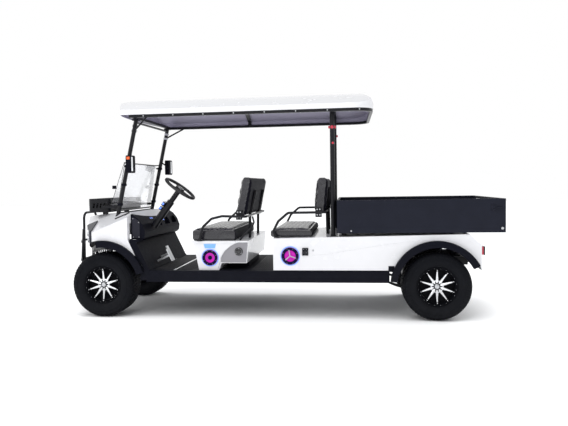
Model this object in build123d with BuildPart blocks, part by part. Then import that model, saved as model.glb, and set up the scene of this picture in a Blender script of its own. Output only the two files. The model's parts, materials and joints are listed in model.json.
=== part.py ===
"""Four-seat utility golf cart with a roof, a folding windshield and a tipping cargo bed.

Millimetres, +Z up, the ground at Z 0. The nose points to -X and the driver sits on the -Y side.
Side-view and plan-view sketches are measured from the front axle, on the planes SIDE and PLAN.
"""
from build123d import *
from math import cos, radians, sin
import os

os.makedirs("parts", exist_ok=True)

# ---------------------------------------------------------------- driving dimensions
FRONT_AXLE_X = -1554
WHEELBASE = 2963
HALF_TRACK = 505
SEAT_GAP = 0.3          # between a piece and the face that it is bolted to
RUN_FIT = 0.05          # radial clearance of a turning or sliding fit

TYRE_R = 292
TYRE_WIDTH = 267
TYRE_BEAD_R = 156
TYRE_FACETS = 44
RIM_WIDTH = 215
RIM_WALL = 6
RIM_LIP_R = 166
SPOKE_COUNT = 10
SPOKE_WIDTH = 17
HUB_R = 42
SPINDLE_R = 15

KINGPIN_Y = 345
KINGPIN_R = 10
KINGPIN_BARREL_R = 20
KINGPIN_BARREL_H = 74
STEERING_ARM = 150
TIE_ROD_R = 9

BODY_HALF_WIDTH = 605
PANEL = 4               # moulded body panels
FLOOR_Z = 423
FLOOR_SHEET = 12
SILL_BOTTOM_Z = 322
SILL_WIDTH = 48
TOE_FOOT_X = 440
SILL_REAR_X = 2566

FRONT_ARCH_R = 405
REAR_ARCH_R = 392
FLARE_HALF_WIDTH = 640
REAR_FLARE_HALF_WIDTH = 652

FRAME_TUBE = 50
FRAME_DEPTH = 70
FRONT_RAIL_Y = 170
MAIN_RAIL_Y = 290
RAIL_BOTTOM_Z = 335
TOW_BOLT_SPACING = 100
TOW_BOLT_R = 6.5

POST_Y = 466
POST_R = 19
REAR_POST_X = 2088
REAR_POST_Y = 500
REAR_POST_R = 20

ROOF_EDGE_Z = 1822
ROOF_HALF_WIDTH = 609
ROOF_CROWN_Z = 2012
ROOF_RIM_Z = 1866
ROOF_REAR_X = 2446
ROOF_SHELL = 6
ROOF_RAIL = 26

DECK_FRONT_X = 1566
DECK_FRONT_Z = 709
DECK_REAR_X = 3232
DECK_REAR_Z = 738
BODY_REAR_X = 3352
BODY_BOTTOM_Z = 430

BED_FRONT_X = 2124
BED_REAR_X = 3515
BED_HALF_WIDTH = 620
BED_SKIRT_Z = 753
BED_FLOOR_Z = 768
BED_TOP_Z = 1035
BED_WALL = 20
BED_FLOOR = 15
BED_PIN_R = 7
BED_PIN_Z = 753
BED_HINGE_Y = 380
TAILGATE_THICK = 18
TAILGATE_GAP = 6
TAILGATE_PIN_R = 6

SEAT_HALF_WIDTH = 560
STEERING_Y = -300
STEERING_HUB = (653, 1155)      # from the front axle, in side view
STEERING_WHEEL_R = 167
STEERING_RIM_R = 14
STEERING_LEAN = 37              # of the wheel's plane from level, degrees

REAR_AXLE = WHEELBASE
SIDE = Plane(origin=(FRONT_AXLE_X, 0, 0), x_dir=(1, 0, 0), z_dir=(0, -1, 0))
PLAN = Plane(origin=(FRONT_AXLE_X, 0, 0), x_dir=(1, 0, 0), z_dir=(0, 0, 1))


# ---------------------------------------------------------------- shared helpers
def at(x, y, z):
    """A point measured from the front axle along the cart."""
    return (FRONT_AXLE_X + x, y, z)


def save(builder, name):
    """Label a finished piece and write its file."""
    builder.part.label = name
    export_step(builder.part, f"parts/{name}.step")


def slab(outline, y_from, y_to):
    """A closed side-view outline, as a plate from y_from to y_to."""
    with BuildPart() as plate:
        with BuildSketch(SIDE.offset(-y_to)):
            with BuildLine():
                Polyline(*outline, close=True)
            make_face()
        extrude(amount=y_to - y_from)
    return plate.part


def tube(points, radius, bend):
    """A round tube on straight runs that are joined by arcs of radius bend."""
    with BuildPart() as pipe:
        with BuildLine() as path:
            if len(points) > 2:
                FilletPolyline(*points, radius=bend)
            else:
                Line(*points)
        with BuildSketch(Plane(origin=path.line @ 0, z_dir=path.line % 0)):
            Circle(radius)
        sweep(path=path.line)
    return pipe.part


def block(x_from, x_to, y_from, y_to, z_from, z_to):
    """A rectangular block between stations measured from the front axle."""
    with BuildPart() as bar:
        with BuildSketch(PLAN.offset(z_from)):
            with Locations(((x_from + x_to) / 2, (y_from + y_to) / 2)):
                Rectangle(x_to - x_from, y_to - y_from)
        extrude(amount=z_to - z_from)
    return bar.part


def disc(x, z, y_from, y_to, radius, inner=0):
    """A round disc or ring on an axis across the cart."""
    with BuildPart() as puck:
        with BuildSketch(SIDE.offset(-y_to)):
            with Locations((x, z)):
                Circle(radius)
                if inner:
                    Circle(inner, mode=Mode.SUBTRACT)
        extrude(amount=y_to - y_from)
    return puck.part


def deck_z(x):
    """Height of the sloping rear deck."""
    slope = (DECK_REAR_Z - DECK_FRONT_Z) / (DECK_REAR_X - DECK_FRONT_X)
    return DECK_FRONT_Z + (x - DECK_FRONT_X) * slope


# ---------------------------------------------------------------- wheels
WHEELS = (
    # corner, axle station from the front axle, side (+1 is +Y)
    ("front_left", 0, -1),
    ("front_right", 0, 1),
    ("rear_left", REAR_AXLE, -1),
    ("rear_right", REAR_AXLE, 1),
)


def wheel_plane(station, side):
    """Sketch plane through the wheel's centre, its z_dir outwards."""
    return Plane(origin=at(station, side * HALF_TRACK, TYRE_R), x_dir=(1, 0, 0), z_dir=(0, side, 0))


def make_tyre(plane):
    """A tyre drawn with straight facets round its axle, their corners on the true radii."""
    half = TYRE_WIDTH / 2
    bead = RIM_WIDTH / 2 - 0.5
    flank = (
        # distance from the middle plane, radius
        (bead, RIM_LIP_R + 4),
        (half, 214),
        (half - 6, 256),
        (half - 26, TYRE_R - 7),
        (half - 46, TYRE_R),
    )
    sections = [(-reach, radius) for reach, radius in flank] + list(reversed(flank))
    with BuildPart() as tyre:
        for reach, radius in sections:
            with BuildSketch(plane.offset(reach)):
                RegularPolygon(radius, TYRE_FACETS)
        loft(ruled=True)
        with BuildSketch(plane.offset(-bead)):
            RegularPolygon(TYRE_BEAD_R, TYRE_FACETS, major_radius=False)
        extrude(amount=2 * bead, mode=Mode.SUBTRACT)
    return tyre.part


def make_rim(plane):
    half = RIM_WIDTH / 2
    barrel_r = TYRE_BEAD_R - SEAT_GAP
    section_plane = Plane(origin=plane.origin, x_dir=(0, 0, 1), z_dir=(1, 0, 0))
    outward = section_plane.to_local_coords(Vector(*plane.z_dir) + plane.origin).Y
    face = outward * (half - 30)
    with BuildPart() as rim:
        with BuildSketch(section_plane):
            with Locations((barrel_r - RIM_WALL / 2, 0)):
                Rectangle(RIM_WALL, RIM_WIDTH)
            for end in (-1, 1):
                with Locations((RIM_LIP_R - 10, end * (half + 2.9))):
                    Rectangle(20, 6)
        revolve(axis=Axis(plane.origin, plane.z_dir))
        with BuildSketch(section_plane):
            with Locations((HUB_R / 2, face - outward * 12)):
                Rectangle(HUB_R, 44)
        revolve(axis=Axis(plane.origin, plane.z_dir))
        with BuildSketch(plane.offset(half - 44)):
            with PolarLocations(0, SPOKE_COUNT):
                with Locations(((barrel_r + HUB_R) / 2 - 4, 0)):
                    Rectangle(barrel_r - HUB_R + 2, SPOKE_WIDTH)
        extrude(amount=22)
        with BuildSketch(plane.offset(half - 60)):
            Circle(95)
        extrude(amount=8)
        with BuildSketch(plane.offset(-half)):
            Circle(SPINDLE_R + RUN_FIT)
        extrude(amount=RIM_WIDTH - 30, mode=Mode.SUBTRACT)
    return rim.part


for corner, station, side in WHEELS:
    plane = wheel_plane(station, side)
    with BuildPart() as tyre:
        add(make_tyre(plane))
    save(tyre, f"tyre_{corner}")
    with BuildPart() as rim:
        add(make_rim(plane))
    save(rim, f"rim_{corner}")

# ---------------------------------------------------------------- chassis
with BuildPart() as chassis_frame:
    rail_top = RAIL_BOTTOM_Z + FRAME_DEPTH
    add(block(-262, 700, FRONT_RAIL_Y - FRAME_TUBE / 2, FRONT_RAIL_Y + FRAME_TUBE / 2, RAIL_BOTTOM_Z, rail_top))
    kick_up = (
        (560, RAIL_BOTTOM_Z),
        (2430, RAIL_BOTTOM_Z),
        (2580, 442),
        (3270, 442),
        (3270, 512),
        (2550, 512),
        (2400, rail_top),
        (560, rail_top),
    )
    add(slab(kick_up, MAIN_RAIL_Y - FRAME_TUBE / 2, MAIN_RAIL_Y + FRAME_TUBE / 2))
    mirror(about=Plane.XZ)
    for station in (-240, 190):
        add(block(station - 22, station + 22, -FRONT_RAIL_Y, FRONT_RAIL_Y, RAIL_BOTTOM_Z, rail_top))
    for station in (600, 1300, 2000):
        add(block(station - 25, station + 25, -MAIN_RAIL_Y, MAIN_RAIL_Y, RAIL_BOTTOM_Z, rail_top))
    for station in (2600, 3240):
        add(block(station - 20, station + 20, -MAIN_RAIL_Y, MAIN_RAIL_Y, 442, 512))
    tower_top = 575
    for side in (-1, 1):
        y_low, y_high = sorted((side * 148, side * 176))
        add(block(-22, 22, y_low, y_high, RAIL_BOTTOM_Z + FRAME_DEPTH - 1, tower_top))
        rail_face = FRONT_RAIL_Y + FRAME_TUBE / 2
        y_low, y_high = sorted((side * (rail_face - 20), side * rail_face))
        for station in (-105, 105):
            add(block(station - 16, station + 16, y_low, y_high, 234, RAIL_BOTTOM_Z + 1))
    add(block(-30, 30, -250, 250, tower_top - 12, tower_top))
    with BuildSketch(PLAN.offset(442)):
        with Locations((3240, -TOW_BOLT_SPACING / 2), (3240, TOW_BOLT_SPACING / 2)):
            Circle(TOW_BOLT_R)
    extrude(amount=FRAME_DEPTH, mode=Mode.SUBTRACT)
save(chassis_frame, "chassis_frame")

with BuildPart() as floor_pan:
    add(block(540, DECK_FRONT_X - SEAT_GAP, -BODY_HALF_WIDTH, BODY_HALF_WIDTH, FLOOR_Z - FLOOR_SHEET, FLOOR_Z))
    add(block(TOE_FOOT_X, 541, -555, 555, FLOOR_Z - FLOOR_SHEET, FLOOR_Z))
    add(block(TOE_FOOT_X, SILL_REAR_X, BODY_HALF_WIDTH - SILL_WIDTH, BODY_HALF_WIDTH, SILL_BOTTOM_Z, FLOOR_Z))
    mirror(about=Plane.XZ)
    for station in (900, 1450, 2100):
        for side in (-1, 1):
            inner = MAIN_RAIL_Y + FRAME_TUBE / 2 + SEAT_GAP
            y_low, y_high = sorted((side * inner, side * (BODY_HALF_WIDTH - 2)))
            add(block(station - 20, station + 20, y_low, y_high, 360, 400))
    for station in (700, 1500):
        add(block(station - 15, station + 15, -500, 500, RAIL_BOTTOM_Z + FRAME_DEPTH + SEAT_GAP, FLOOR_Z - 2))
save(floor_pan, "floor_pan")

# ---------------------------------------------------------------- front suspension and steering
ARM_Z = 306
ARM_THICK = 12
RACK_Z = 286
RACK_R = 12
YOKE_GAP = KINGPIN_BARREL_H / 2 + 2
YOKE_THICK = 16
BUSH_R = 12
STRUT_FOOT_Y = 272
STRUT_BAR_Z = TYRE_R - YOKE_GAP - YOKE_THICK / 2 + 4

with BuildPart() as front_suspension:
    bush_y = FRONT_RAIL_Y + FRAME_TUBE / 2 + SEAT_GAP + BUSH_R
    for side in (-1, 1):
        for level in (-1, 1):
            yoke_z = TYRE_R + level * (YOKE_GAP + YOKE_THICK / 2)
            bush_z = yoke_z + 8
            for fore in (-105, 105):
                add(tube([at(fore, side * bush_y, bush_z), at(0, side * (KINGPIN_Y - 14), yoke_z)], 8, 0))
                add(tube([at(fore - 18, side * bush_y, bush_z), at(fore + 18, side * bush_y, bush_z)], BUSH_R, 0))
            with BuildSketch(PLAN.offset(yoke_z - YOKE_THICK / 2)):
                with Locations((0, side * KINGPIN_Y)):
                    Circle(KINGPIN_BARREL_R)
            extrude(amount=YOKE_THICK)
        with BuildSketch(PLAN.offset(TYRE_R - YOKE_GAP - YOKE_THICK)):
            with Locations((0, side * KINGPIN_Y)):
                Circle(KINGPIN_R)
        extrude(amount=2 * (YOKE_GAP + YOKE_THICK))
        add(tube([at(-50, side * STRUT_FOOT_Y, STRUT_BAR_Z), at(50, side * STRUT_FOOT_Y, STRUT_BAR_Z)], 8, 0))
save(front_suspension, "front_suspension")

for name, side in (("left", -1), ("right", 1)):
    with BuildPart() as knuckle:
        with BuildSketch(PLAN.offset(TYRE_R - KINGPIN_BARREL_H / 2)):
            with Locations((0, side * KINGPIN_Y)):
                Circle(KINGPIN_BARREL_R)
        extrude(amount=KINGPIN_BARREL_H)
        spindle_start = side * (KINGPIN_Y + KINGPIN_BARREL_R - 5)
        add(tube([at(0, spindle_start, TYRE_R), at(0, side * (HALF_TRACK + 66), TYRE_R)], SPINDLE_R, 0))
        y_low, y_high = sorted((side * (HALF_TRACK - 100), side * (HALF_TRACK - 55)))
        add(disc(0, TYRE_R, y_low, y_high, 92))
        with BuildSketch(PLAN.offset(ARM_Z)):
            with BuildLine():
                Polyline(
                    (0, side * (KINGPIN_Y - 18)),
                    (STEERING_ARM, side * (KINGPIN_Y - 30)),
                    (STEERING_ARM, side * KINGPIN_Y),
                    (0, side * (KINGPIN_Y + 18)),
                    close=True,
                )
            make_face()
            with Locations((STEERING_ARM, side * (KINGPIN_Y - 15))):
                Circle(15)
        extrude(amount=ARM_THICK)
        with BuildSketch(PLAN.offset(TYRE_R - KINGPIN_BARREL_H / 2)):
            with Locations((0, side * KINGPIN_Y)):
                Circle(KINGPIN_R + RUN_FIT)
        extrude(amount=KINGPIN_BARREL_H, mode=Mode.SUBTRACT)
    save(knuckle, f"knuckle_{name}")

with BuildPart() as rack_housing:
    add(tube([at(STEERING_ARM, -140, RACK_Z), at(STEERING_ARM, 140, RACK_Z)], RACK_R + 8, 0))
    for side in (-1, 1):
        y_low, y_high = sorted((side * 60, side * 90))
        add(block(STEERING_ARM - 10, 212, y_low, y_high, RACK_Z + 14, RAIL_BOTTOM_Z - SEAT_GAP))
    add(tube([at(STEERING_ARM, -140, RACK_Z), at(STEERING_ARM, 140, RACK_Z)], RACK_R + RUN_FIT, 0),
        mode=Mode.SUBTRACT)
save(rack_housing, "rack_housing")

with BuildPart() as tie_rods:
    reach = KINGPIN_Y - 15
    add(tube([at(STEERING_ARM, -230, RACK_Z), at(STEERING_ARM, 230, RACK_Z)], RACK_R, 0))
    add(tube([at(STEERING_ARM, -reach, RACK_Z), at(STEERING_ARM, reach, RACK_Z)], TIE_ROD_R, 0))
    for side in (-1, 1):
        with Locations(at(STEERING_ARM, side * reach, RACK_Z)):
            Sphere(12)
save(tie_rods, "tie_rods")

# ---------------------------------------------------------------- rear axle and springs
LEAF_WIDTH = 50
LEAF_EYE_Z = 300
with BuildPart() as rear_axle:
    add(disc(REAR_AXLE, TYRE_R, -(HALF_TRACK - 100), HALF_TRACK - 100, 34))
    add(disc(REAR_AXLE, TYRE_R, -(HALF_TRACK - 58), -(HALF_TRACK - 108), 92))
    add(disc(REAR_AXLE, TYRE_R, HALF_TRACK - 108, HALF_TRACK - 58, 92))
    add(disc(REAR_AXLE, TYRE_R, -(HALF_TRACK + 66), HALF_TRACK + 66, SPINDLE_R))
    add(disc(REAR_AXLE, TYRE_R, -70, 70, 105))
    add(disc(REAR_AXLE - 150, TYRE_R + 20, -140, 130, 88))
    add(block(REAR_AXLE - 150, REAR_AXLE, -60, 60, TYRE_R - 60, TYRE_R + 80))
save(rear_axle, "rear_axle")

with BuildPart() as leaf_springs:
    front_eye = (2540, LEAF_EYE_Z)
    seat_top = TYRE_R - 34 - 1.1
    rear_eye = (3225, LEAF_EYE_Z + 72)
    with BuildSketch(SIDE.offset(-(MAIN_RAIL_Y + LEAF_WIDTH / 2))):
        with BuildLine():
            ThreePointArc(front_eye, (REAR_AXLE, seat_top), rear_eye)
            Line(rear_eye, (rear_eye[0], rear_eye[1] - 10))
            ThreePointArc(
                (rear_eye[0], rear_eye[1] - 10),
                (REAR_AXLE, seat_top - 30),
                (front_eye[0], front_eye[1] - 10),
            )
            Line((front_eye[0], front_eye[1] - 10), front_eye)
        make_face()
    extrude(amount=LEAF_WIDTH)
    for eye in (front_eye, rear_eye):
        add(disc(eye[0], eye[1] - 5, MAIN_RAIL_Y - LEAF_WIDTH / 2, MAIN_RAIL_Y + LEAF_WIDTH / 2, 17))
    hanger = ((2515, LEAF_EYE_Z - 10), (2560, LEAF_EYE_Z), (2552, 421), (2500, 384))
    shackle = ((3210, rear_eye[1]), (3240, rear_eye[1]), (3240, 442 - SEAT_GAP), (3210, 442 - SEAT_GAP))
    for outline in (hanger, shackle):
        add(slab(outline, MAIN_RAIL_Y - 20, MAIN_RAIL_Y + 20))
    mirror(about=Plane.XZ)
save(leaf_springs, "leaf_springs")

with BuildPart() as dampers:
    foot_z = STRUT_BAR_Z + 8 + SEAT_GAP + 12
    add(tube([at(-15, STRUT_FOOT_Y, foot_z), at(15, STRUT_FOOT_Y, foot_z)], 12, 0))
    add(tube([at(0, STRUT_FOOT_Y, foot_z), at(0, 222, 556)], 11, 0))
    add(tube([at(0, STRUT_FOOT_Y - 7, 312), at(0, 226, 535)], 27, 0))
    add(block(-14, 14, 206, 238, 540, tower_top - 12 - SEAT_GAP))
    add(tube([at(REAR_AXLE + 60, 225, TYRE_R + 40), at(REAR_AXLE + 95, 225, 500)], 17, 0))
    add(disc(REAR_AXLE + 60, TYRE_R + 40, 205, 245, 16))
    add(disc(REAR_AXLE + 95, 495, 205, MAIN_RAIL_Y - FRAME_TUBE / 2 - SEAT_GAP, 14))
    mirror(about=Plane.XZ)
save(dampers, "dampers")


# ---------------------------------------------------------------- front cowl
COWL_NOSE_X = -300
COWL_REAR_SIDE_X = 243
COWL_REAR_CENTRE_X = 322
COWL_CORNER_X = -92
COWL_BOTTOM_Z = 450
FASCIA_HALF_WIDTH = 225


def cowl_plan(inset):
    """Plan of the cowl: a bowed nose, straight flanks and a bowed rear edge."""
    half = BODY_HALF_WIDTH - inset
    with BuildPart() as prism:
        with BuildSketch(PLAN.offset(300)):
            with BuildLine():
                ThreePointArc((COWL_CORNER_X + inset, -half), (COWL_NOSE_X + inset, 0), (COWL_CORNER_X + inset, half))
                Line((COWL_CORNER_X + inset, half), (COWL_REAR_SIDE_X - inset, half))
                ThreePointArc((COWL_REAR_SIDE_X - inset, half), (COWL_REAR_CENTRE_X - inset, 0),
                              (COWL_REAR_SIDE_X - inset, -half))
                Line((COWL_REAR_SIDE_X - inset, -half), (COWL_CORNER_X + inset, -half))
            make_face()
        extrude(amount=800)
    return prism.part


def cowl_form(inset, drop=0):
    """The cowl as a filled form, its faces moved in by inset and its bottom down by drop."""
    outline = (
        (-268 + inset, COWL_BOTTOM_Z - drop),
        (COWL_NOSE_X - 5 + inset, 620),
        (COWL_NOSE_X - 5 + inset, 850),
        (-262 + inset, 900 - inset),
        (-190, 914 - inset),
        (215, 945 - inset),
        (340, 957 - inset),
        (340, COWL_BOTTOM_Z - drop),
    )
    shoulder = Vector(-0.3335, 0.4605, 0.8226)
    with BuildPart() as form:
        add(slab(outline, -BODY_HALF_WIDTH - 20, BODY_HALF_WIDTH + 20))
        add(cowl_plan(inset), mode=Mode.INTERSECT)
        for side in (-1, 1):
            normal = Vector(shoulder.X, side * shoulder.Y, shoulder.Z)
            rear_corner = Vector(*at(COWL_REAR_SIDE_X, side * BODY_HALF_WIDTH, 905))
            split(bisect_by=Plane(origin=rear_corner - normal * inset, z_dir=normal), keep=Keep.BOTTOM)
    return form.part


def arch_cutter(station, radius, y_inner, y_outer):
    """Wheel-well cylinders on both sides of the cart."""
    with BuildPart() as cutter:
        add(disc(station, TYRE_R, y_inner, y_outer, radius))
        add(disc(station, TYRE_R, -y_outer, -y_inner, radius))
    return cutter.part


with BuildPart() as front_cowl:
    add(cowl_form(0))
    add(cowl_form(PANEL, 50), mode=Mode.SUBTRACT)
    rear_opening = 30
    add(block(COWL_REAR_SIDE_X - rear_opening, 345, -570, 570, 440, 850), mode=Mode.SUBTRACT)
    heel = ((200, 704), (COWL_REAR_SIDE_X, 704), (309, 558), (262, 558), (200, 620))
    for side in (-1, 1):
        y_low, y_high = sorted((side * (BODY_HALF_WIDTH - PANEL), side * BODY_HALF_WIDTH))
        add(slab(heel, y_low, y_high))
    add(arch_cutter(0, FRONT_ARCH_R, FASCIA_HALF_WIDTH, BODY_HALF_WIDTH + 30), mode=Mode.SUBTRACT)
save(front_cowl, "front_cowl")


def cowl_skin(inner, outer):
    """The layer just outside the cowl's faces, from inner to outer millimetres off it."""
    with BuildPart() as skin:
        add(cowl_form(-outer))
        add(cowl_form(-inner, 20), mode=Mode.SUBTRACT)
    return skin.part


with BuildPart() as headlights:
    add(cowl_skin(SEAT_GAP, 12))
    lamp_box = Part() + block(-340, -108, 436, 584, 672, 879) + block(-340, -108, -584, -436, 672, 879)
    add(lamp_box, mode=Mode.INTERSECT)
save(headlights, "headlights")

with BuildPart() as front_grille:
    add(cowl_skin(SEAT_GAP, 9))
    bars = Part()
    for index in range(9):
        middle = (index - 4) * 44
        bars += block(-340, -100, middle - 9, middle + 9, 492, 700)
    bars += block(-340, -100, -185, 185, 700, 716)
    add(bars, mode=Mode.INTERSECT)
save(front_grille, "front_grille")


# ---------------------------------------------------------------- wheel-arch flares
def arch_ring(station, r_in, r_out, y_from, y_to, start, sweep_angle):
    """A part of a ring round the axle, from start degrees above the rearward level."""
    with BuildPart() as ring:
        with BuildSketch(SIDE.offset(-y_to)):
            with BuildLine():
                CenterArc((station, TYRE_R), r_in, start, sweep_angle)
                CenterArc((station, TYRE_R), r_out, start, sweep_angle)
                for angle in (start, start + sweep_angle):
                    ray = Vector(cos(radians(angle)), sin(radians(angle)))
                    Line(Vector(station, TYRE_R) + ray * r_in, Vector(station, TYRE_R) + ray * r_out)
            make_face()
        extrude(amount=y_to - y_from)
    return ring.part


FLARE_RIM_WIDTH = 50
with BuildPart() as front_flares:
    liner_r = FRONT_ARCH_R - SEAT_GAP
    add(arch_ring(0, liner_r - 4.7, liner_r, FASCIA_HALF_WIDTH + SEAT_GAP, BODY_HALF_WIDTH - 9, 20, 110))
    add(cowl_plan(PANEL + SEAT_GAP), mode=Mode.INTERSECT)
    add(arch_ring(0, 343, liner_r, FLARE_HALF_WIDTH - FLARE_RIM_WIDTH, FLARE_HALF_WIDTH, 17, 80))
    mirror(about=Plane.XZ)
save(front_flares, "front_flares")

with BuildPart() as rear_flares:
    liner_r = REAR_ARCH_R - SEAT_GAP
    add(arch_ring(REAR_AXLE, liner_r - 5.7, liner_r, 352, BODY_HALF_WIDTH - 9, 42, 112))
    add(arch_ring(REAR_AXLE, 335, liner_r, REAR_FLARE_HALF_WIDTH - 62, REAR_FLARE_HALF_WIDTH, 28, 145))
    mirror(about=Plane.XZ)
save(rear_flares, "rear_flares")

# ---------------------------------------------------------------- dashboard, toe board, pedals
DASH_HALF_WIDTH = 550
TOE_TOP = (320, 676)
TOE_FOOT = (TOE_FOOT_X, FLOOR_Z + SEAT_GAP)
DASH_BOTTOM_Z = 700
DASH_FACE = (
    (200, DASH_BOTTOM_Z + SEAT_GAP),
    (200, 930),
    (264, 930),
    (320, 892),
    (362, 838),
    (388, 765),
    (382, 714),
    (366, DASH_BOTTOM_Z + SEAT_GAP),
)
POCKETS = (-90, 170, 400)       # middles of the open pockets, across the cart

with BuildPart() as dashboard:
    add(slab(DASH_FACE, -DASH_HALF_WIDTH, DASH_HALF_WIDTH))
    add(cowl_form(-SEAT_GAP), mode=Mode.SUBTRACT)
    for middle in POCKETS:
        add(block(332, 470, middle - 80, middle + 80, 796, 866), mode=Mode.SUBTRACT)
save(dashboard, "dashboard")

with BuildPart() as kick_panels:
    toe_board = (
        (300, DASH_BOTTOM_Z),
        (366, DASH_BOTTOM_Z),
        TOE_TOP,
        TOE_FOOT,
        (TOE_FOOT[0] - 20, TOE_FOOT[1]),
        (TOE_TOP[0] - 20, TOE_TOP[1] - 3),
    )
    add(slab(toe_board, -562, 562))
    cheek = [(256, DASH_BOTTOM_Z), (366, DASH_BOTTOM_Z), TOE_TOP, (TOE_FOOT_X - SEAT_GAP, FLOOR_Z),
             (TOE_FOOT_X - SEAT_GAP, SILL_BOTTOM_Z)]
    for angle in (4, 12, 25, 40, 52):
        cheek.append((cos(radians(angle)) * (FRONT_ARCH_R + 7), TYRE_R + sin(radians(angle)) * (FRONT_ARCH_R + 7)))
    for side in (-1, 1):
        y_low, y_high = sorted((side * 561, side * (BODY_HALF_WIDTH - PANEL - SEAT_GAP)))
        add(slab(cheek, y_low, y_high))
save(kick_panels, "kick_panels")

PEDALS = (
    # middle across the cart, half width, way down the toe board, reach off the board, half length
    (-300, 44, 226, 137, 62),
    (-165, 30, 200, 96, 70),
)
with BuildPart() as pedals:
    along = Vector(TOE_FOOT[0] - TOE_TOP[0], TOE_FOOT[1] - TOE_TOP[1]).normalized()
    out = Vector(-along.Y, along.X)
    for middle, pad_half, way_down, reach, half_length in PEDALS:
        board_point = Vector(*TOE_TOP) + along * way_down
        pad_low = board_point + out * reach
        pad = (pad_low - along * half_length, pad_low + along * half_length,
               pad_low + along * half_length + out * 8, pad_low - along * half_length + out * 8)
        add(slab([(p.X, p.Y) for p in pad], middle - pad_half, middle + pad_half))
        foot = board_point + out * SEAT_GAP
        arm = (foot - along * 9, foot + along * 9, pad_low + along * 9 + out, pad_low - along * 9 + out)
        add(slab([(p.X, p.Y) for p in arm], middle - 9, middle + 9))
save(pedals, "pedals")

# ---------------------------------------------------------------- steering column and wheel
lean = radians(STEERING_LEAN)
STEERING_AXIS = Vector(sin(lean), 0, cos(lean))
hub_centre = Vector(*at(STEERING_HUB[0], STEERING_Y, STEERING_HUB[1]))
COLUMN_R = 24
COLUMN_TOP = 34
SHAFT_R = 11

with BuildPart() as steering_column:
    column_foot = hub_centre - STEERING_AXIS * 440
    add(tube([hub_centre - STEERING_AXIS * COLUMN_TOP, column_foot], COLUMN_R, 0))
    add(tube([hub_centre - STEERING_AXIS * 150, column_foot], 34, 0))
    dash_envelope = [(x + (SEAT_GAP if x > 200 else 0), z) for x, z in DASH_FACE]
    add(slab(dash_envelope, STEERING_Y - 60, STEERING_Y + 60), mode=Mode.SUBTRACT)
    add(tube([hub_centre, hub_centre - STEERING_AXIS * 130], SHAFT_R + RUN_FIT, 0), mode=Mode.SUBTRACT)
save(steering_column, "steering_column")

with BuildPart() as steering_wheel:
    wheel_face = Plane(origin=hub_centre, x_dir=(0, 1, 0), z_dir=STEERING_AXIS)
    with BuildSketch(Plane(origin=hub_centre, x_dir=(0, 1, 0), z_dir=STEERING_AXIS.cross(Vector(0, 1, 0)))):
        with Locations((STEERING_WHEEL_R - STEERING_RIM_R, 0)):
            Circle(STEERING_RIM_R)
    revolve(axis=Axis(hub_centre, STEERING_AXIS))
    with BuildSketch(wheel_face.offset(-26)):
        Circle(44)
    extrude(amount=34)
    with BuildSketch(wheel_face.offset(-12)):
        with PolarLocations(0, 3, start_angle=30):
            with Locations(((STEERING_WHEEL_R) / 2, 0)):
                Rectangle(STEERING_WHEEL_R - 20, 26)
    extrude(amount=10)
    add(tube([hub_centre - STEERING_AXIS * 20, hub_centre - STEERING_AXIS * 120], SHAFT_R, 0))
save(steering_wheel, "steering_wheel")

# ---------------------------------------------------------------- roof posts and windshield
FRONT_POST_FOOT = (88, 845)
FRONT_POST_LEAN = 0.2275          # rearward millimetres for each millimetre of height
ROOF_FRAME_BOTTOM_Z = ROOF_EDGE_Z - ROOF_RAIL


def post_x(height):
    """Station of the front posts' axis at a height."""
    return FRONT_POST_FOOT[0] + (height - FRONT_POST_FOOT[1]) * FRONT_POST_LEAN


SHIELD_TOP_Z = 1403
SHIELD_THICK = 5
SHIELD_HALF_WIDTH = 446
SHIELD_BAR_R = 5
SHIELD_FOOT = (90, 975)
SHIELD_HEAD_X = 170
FOLDED_FOOT = (28, 1012)

with BuildPart() as front_posts:
    for side in (-1, 1):
        top = 1788
        add(tube([at(post_x(880), side * POST_Y, 880), at(post_x(top), side * POST_Y, top)], POST_R, 0))
        y_low, y_high = sorted((side * (POST_Y - 26), side * (POST_Y + 26)))
        add(block(post_x(top) - 30, post_x(top) + 30, y_low, y_high, 1783, ROOF_FRAME_BOTTOM_Z - SEAT_GAP))
        add(block(post_x(880) - 6, post_x(880) + 54, y_low, y_high, 835, 918))
        add(tube([at(post_x(1690), side * POST_Y, 1690), at(445, side * 588, 1800)], 8, 0))
        y_low, y_high = sorted((side * (POST_Y - 26), side * POST_Y))
        for height, front_x in ((1000, 100), (1372, 173)):
            add(block(front_x + 3, post_x(height), y_low, y_high, height - 8, height + 8))
    add(tube([at(post_x(1768), -POST_Y, 1768), at(post_x(1768), POST_Y, 1768)], 10, 0))
    add(block(400, 500, -640, 640, ROOF_FRAME_BOTTOM_Z - SEAT_GAP, ROOF_EDGE_Z), mode=Mode.SUBTRACT)
    add(tube([at(post_x(962), -POST_Y, 962), at(post_x(962), POST_Y, 962)], 8, 0))
    add(cowl_form(-SEAT_GAP), mode=Mode.SUBTRACT)
save(front_posts, "front_posts")

with BuildPart() as windshield_lower:
    pane_top = SHIELD_TOP_Z - SHIELD_BAR_R - SEAT_GAP
    head_x = SHIELD_HEAD_X + 1
    pane = (SHIELD_FOOT, (SHIELD_FOOT[0] + SHIELD_THICK, SHIELD_FOOT[1]),
            (head_x + SHIELD_THICK, pane_top), (head_x, pane_top))
    add(slab(pane, -SHIELD_HALF_WIDTH, SHIELD_HALF_WIDTH))
save(windshield_lower, "windshield_lower")

with BuildPart() as windshield_upper:
    pane = (FOLDED_FOOT, (FOLDED_FOOT[0] + SHIELD_THICK, FOLDED_FOOT[1]),
            (SHIELD_HEAD_X, pane_top), (SHIELD_HEAD_X - SHIELD_THICK, pane_top))
    add(slab(pane, -SHIELD_HALF_WIDTH, SHIELD_HALF_WIDTH))
save(windshield_upper, "windshield_upper")

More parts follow.
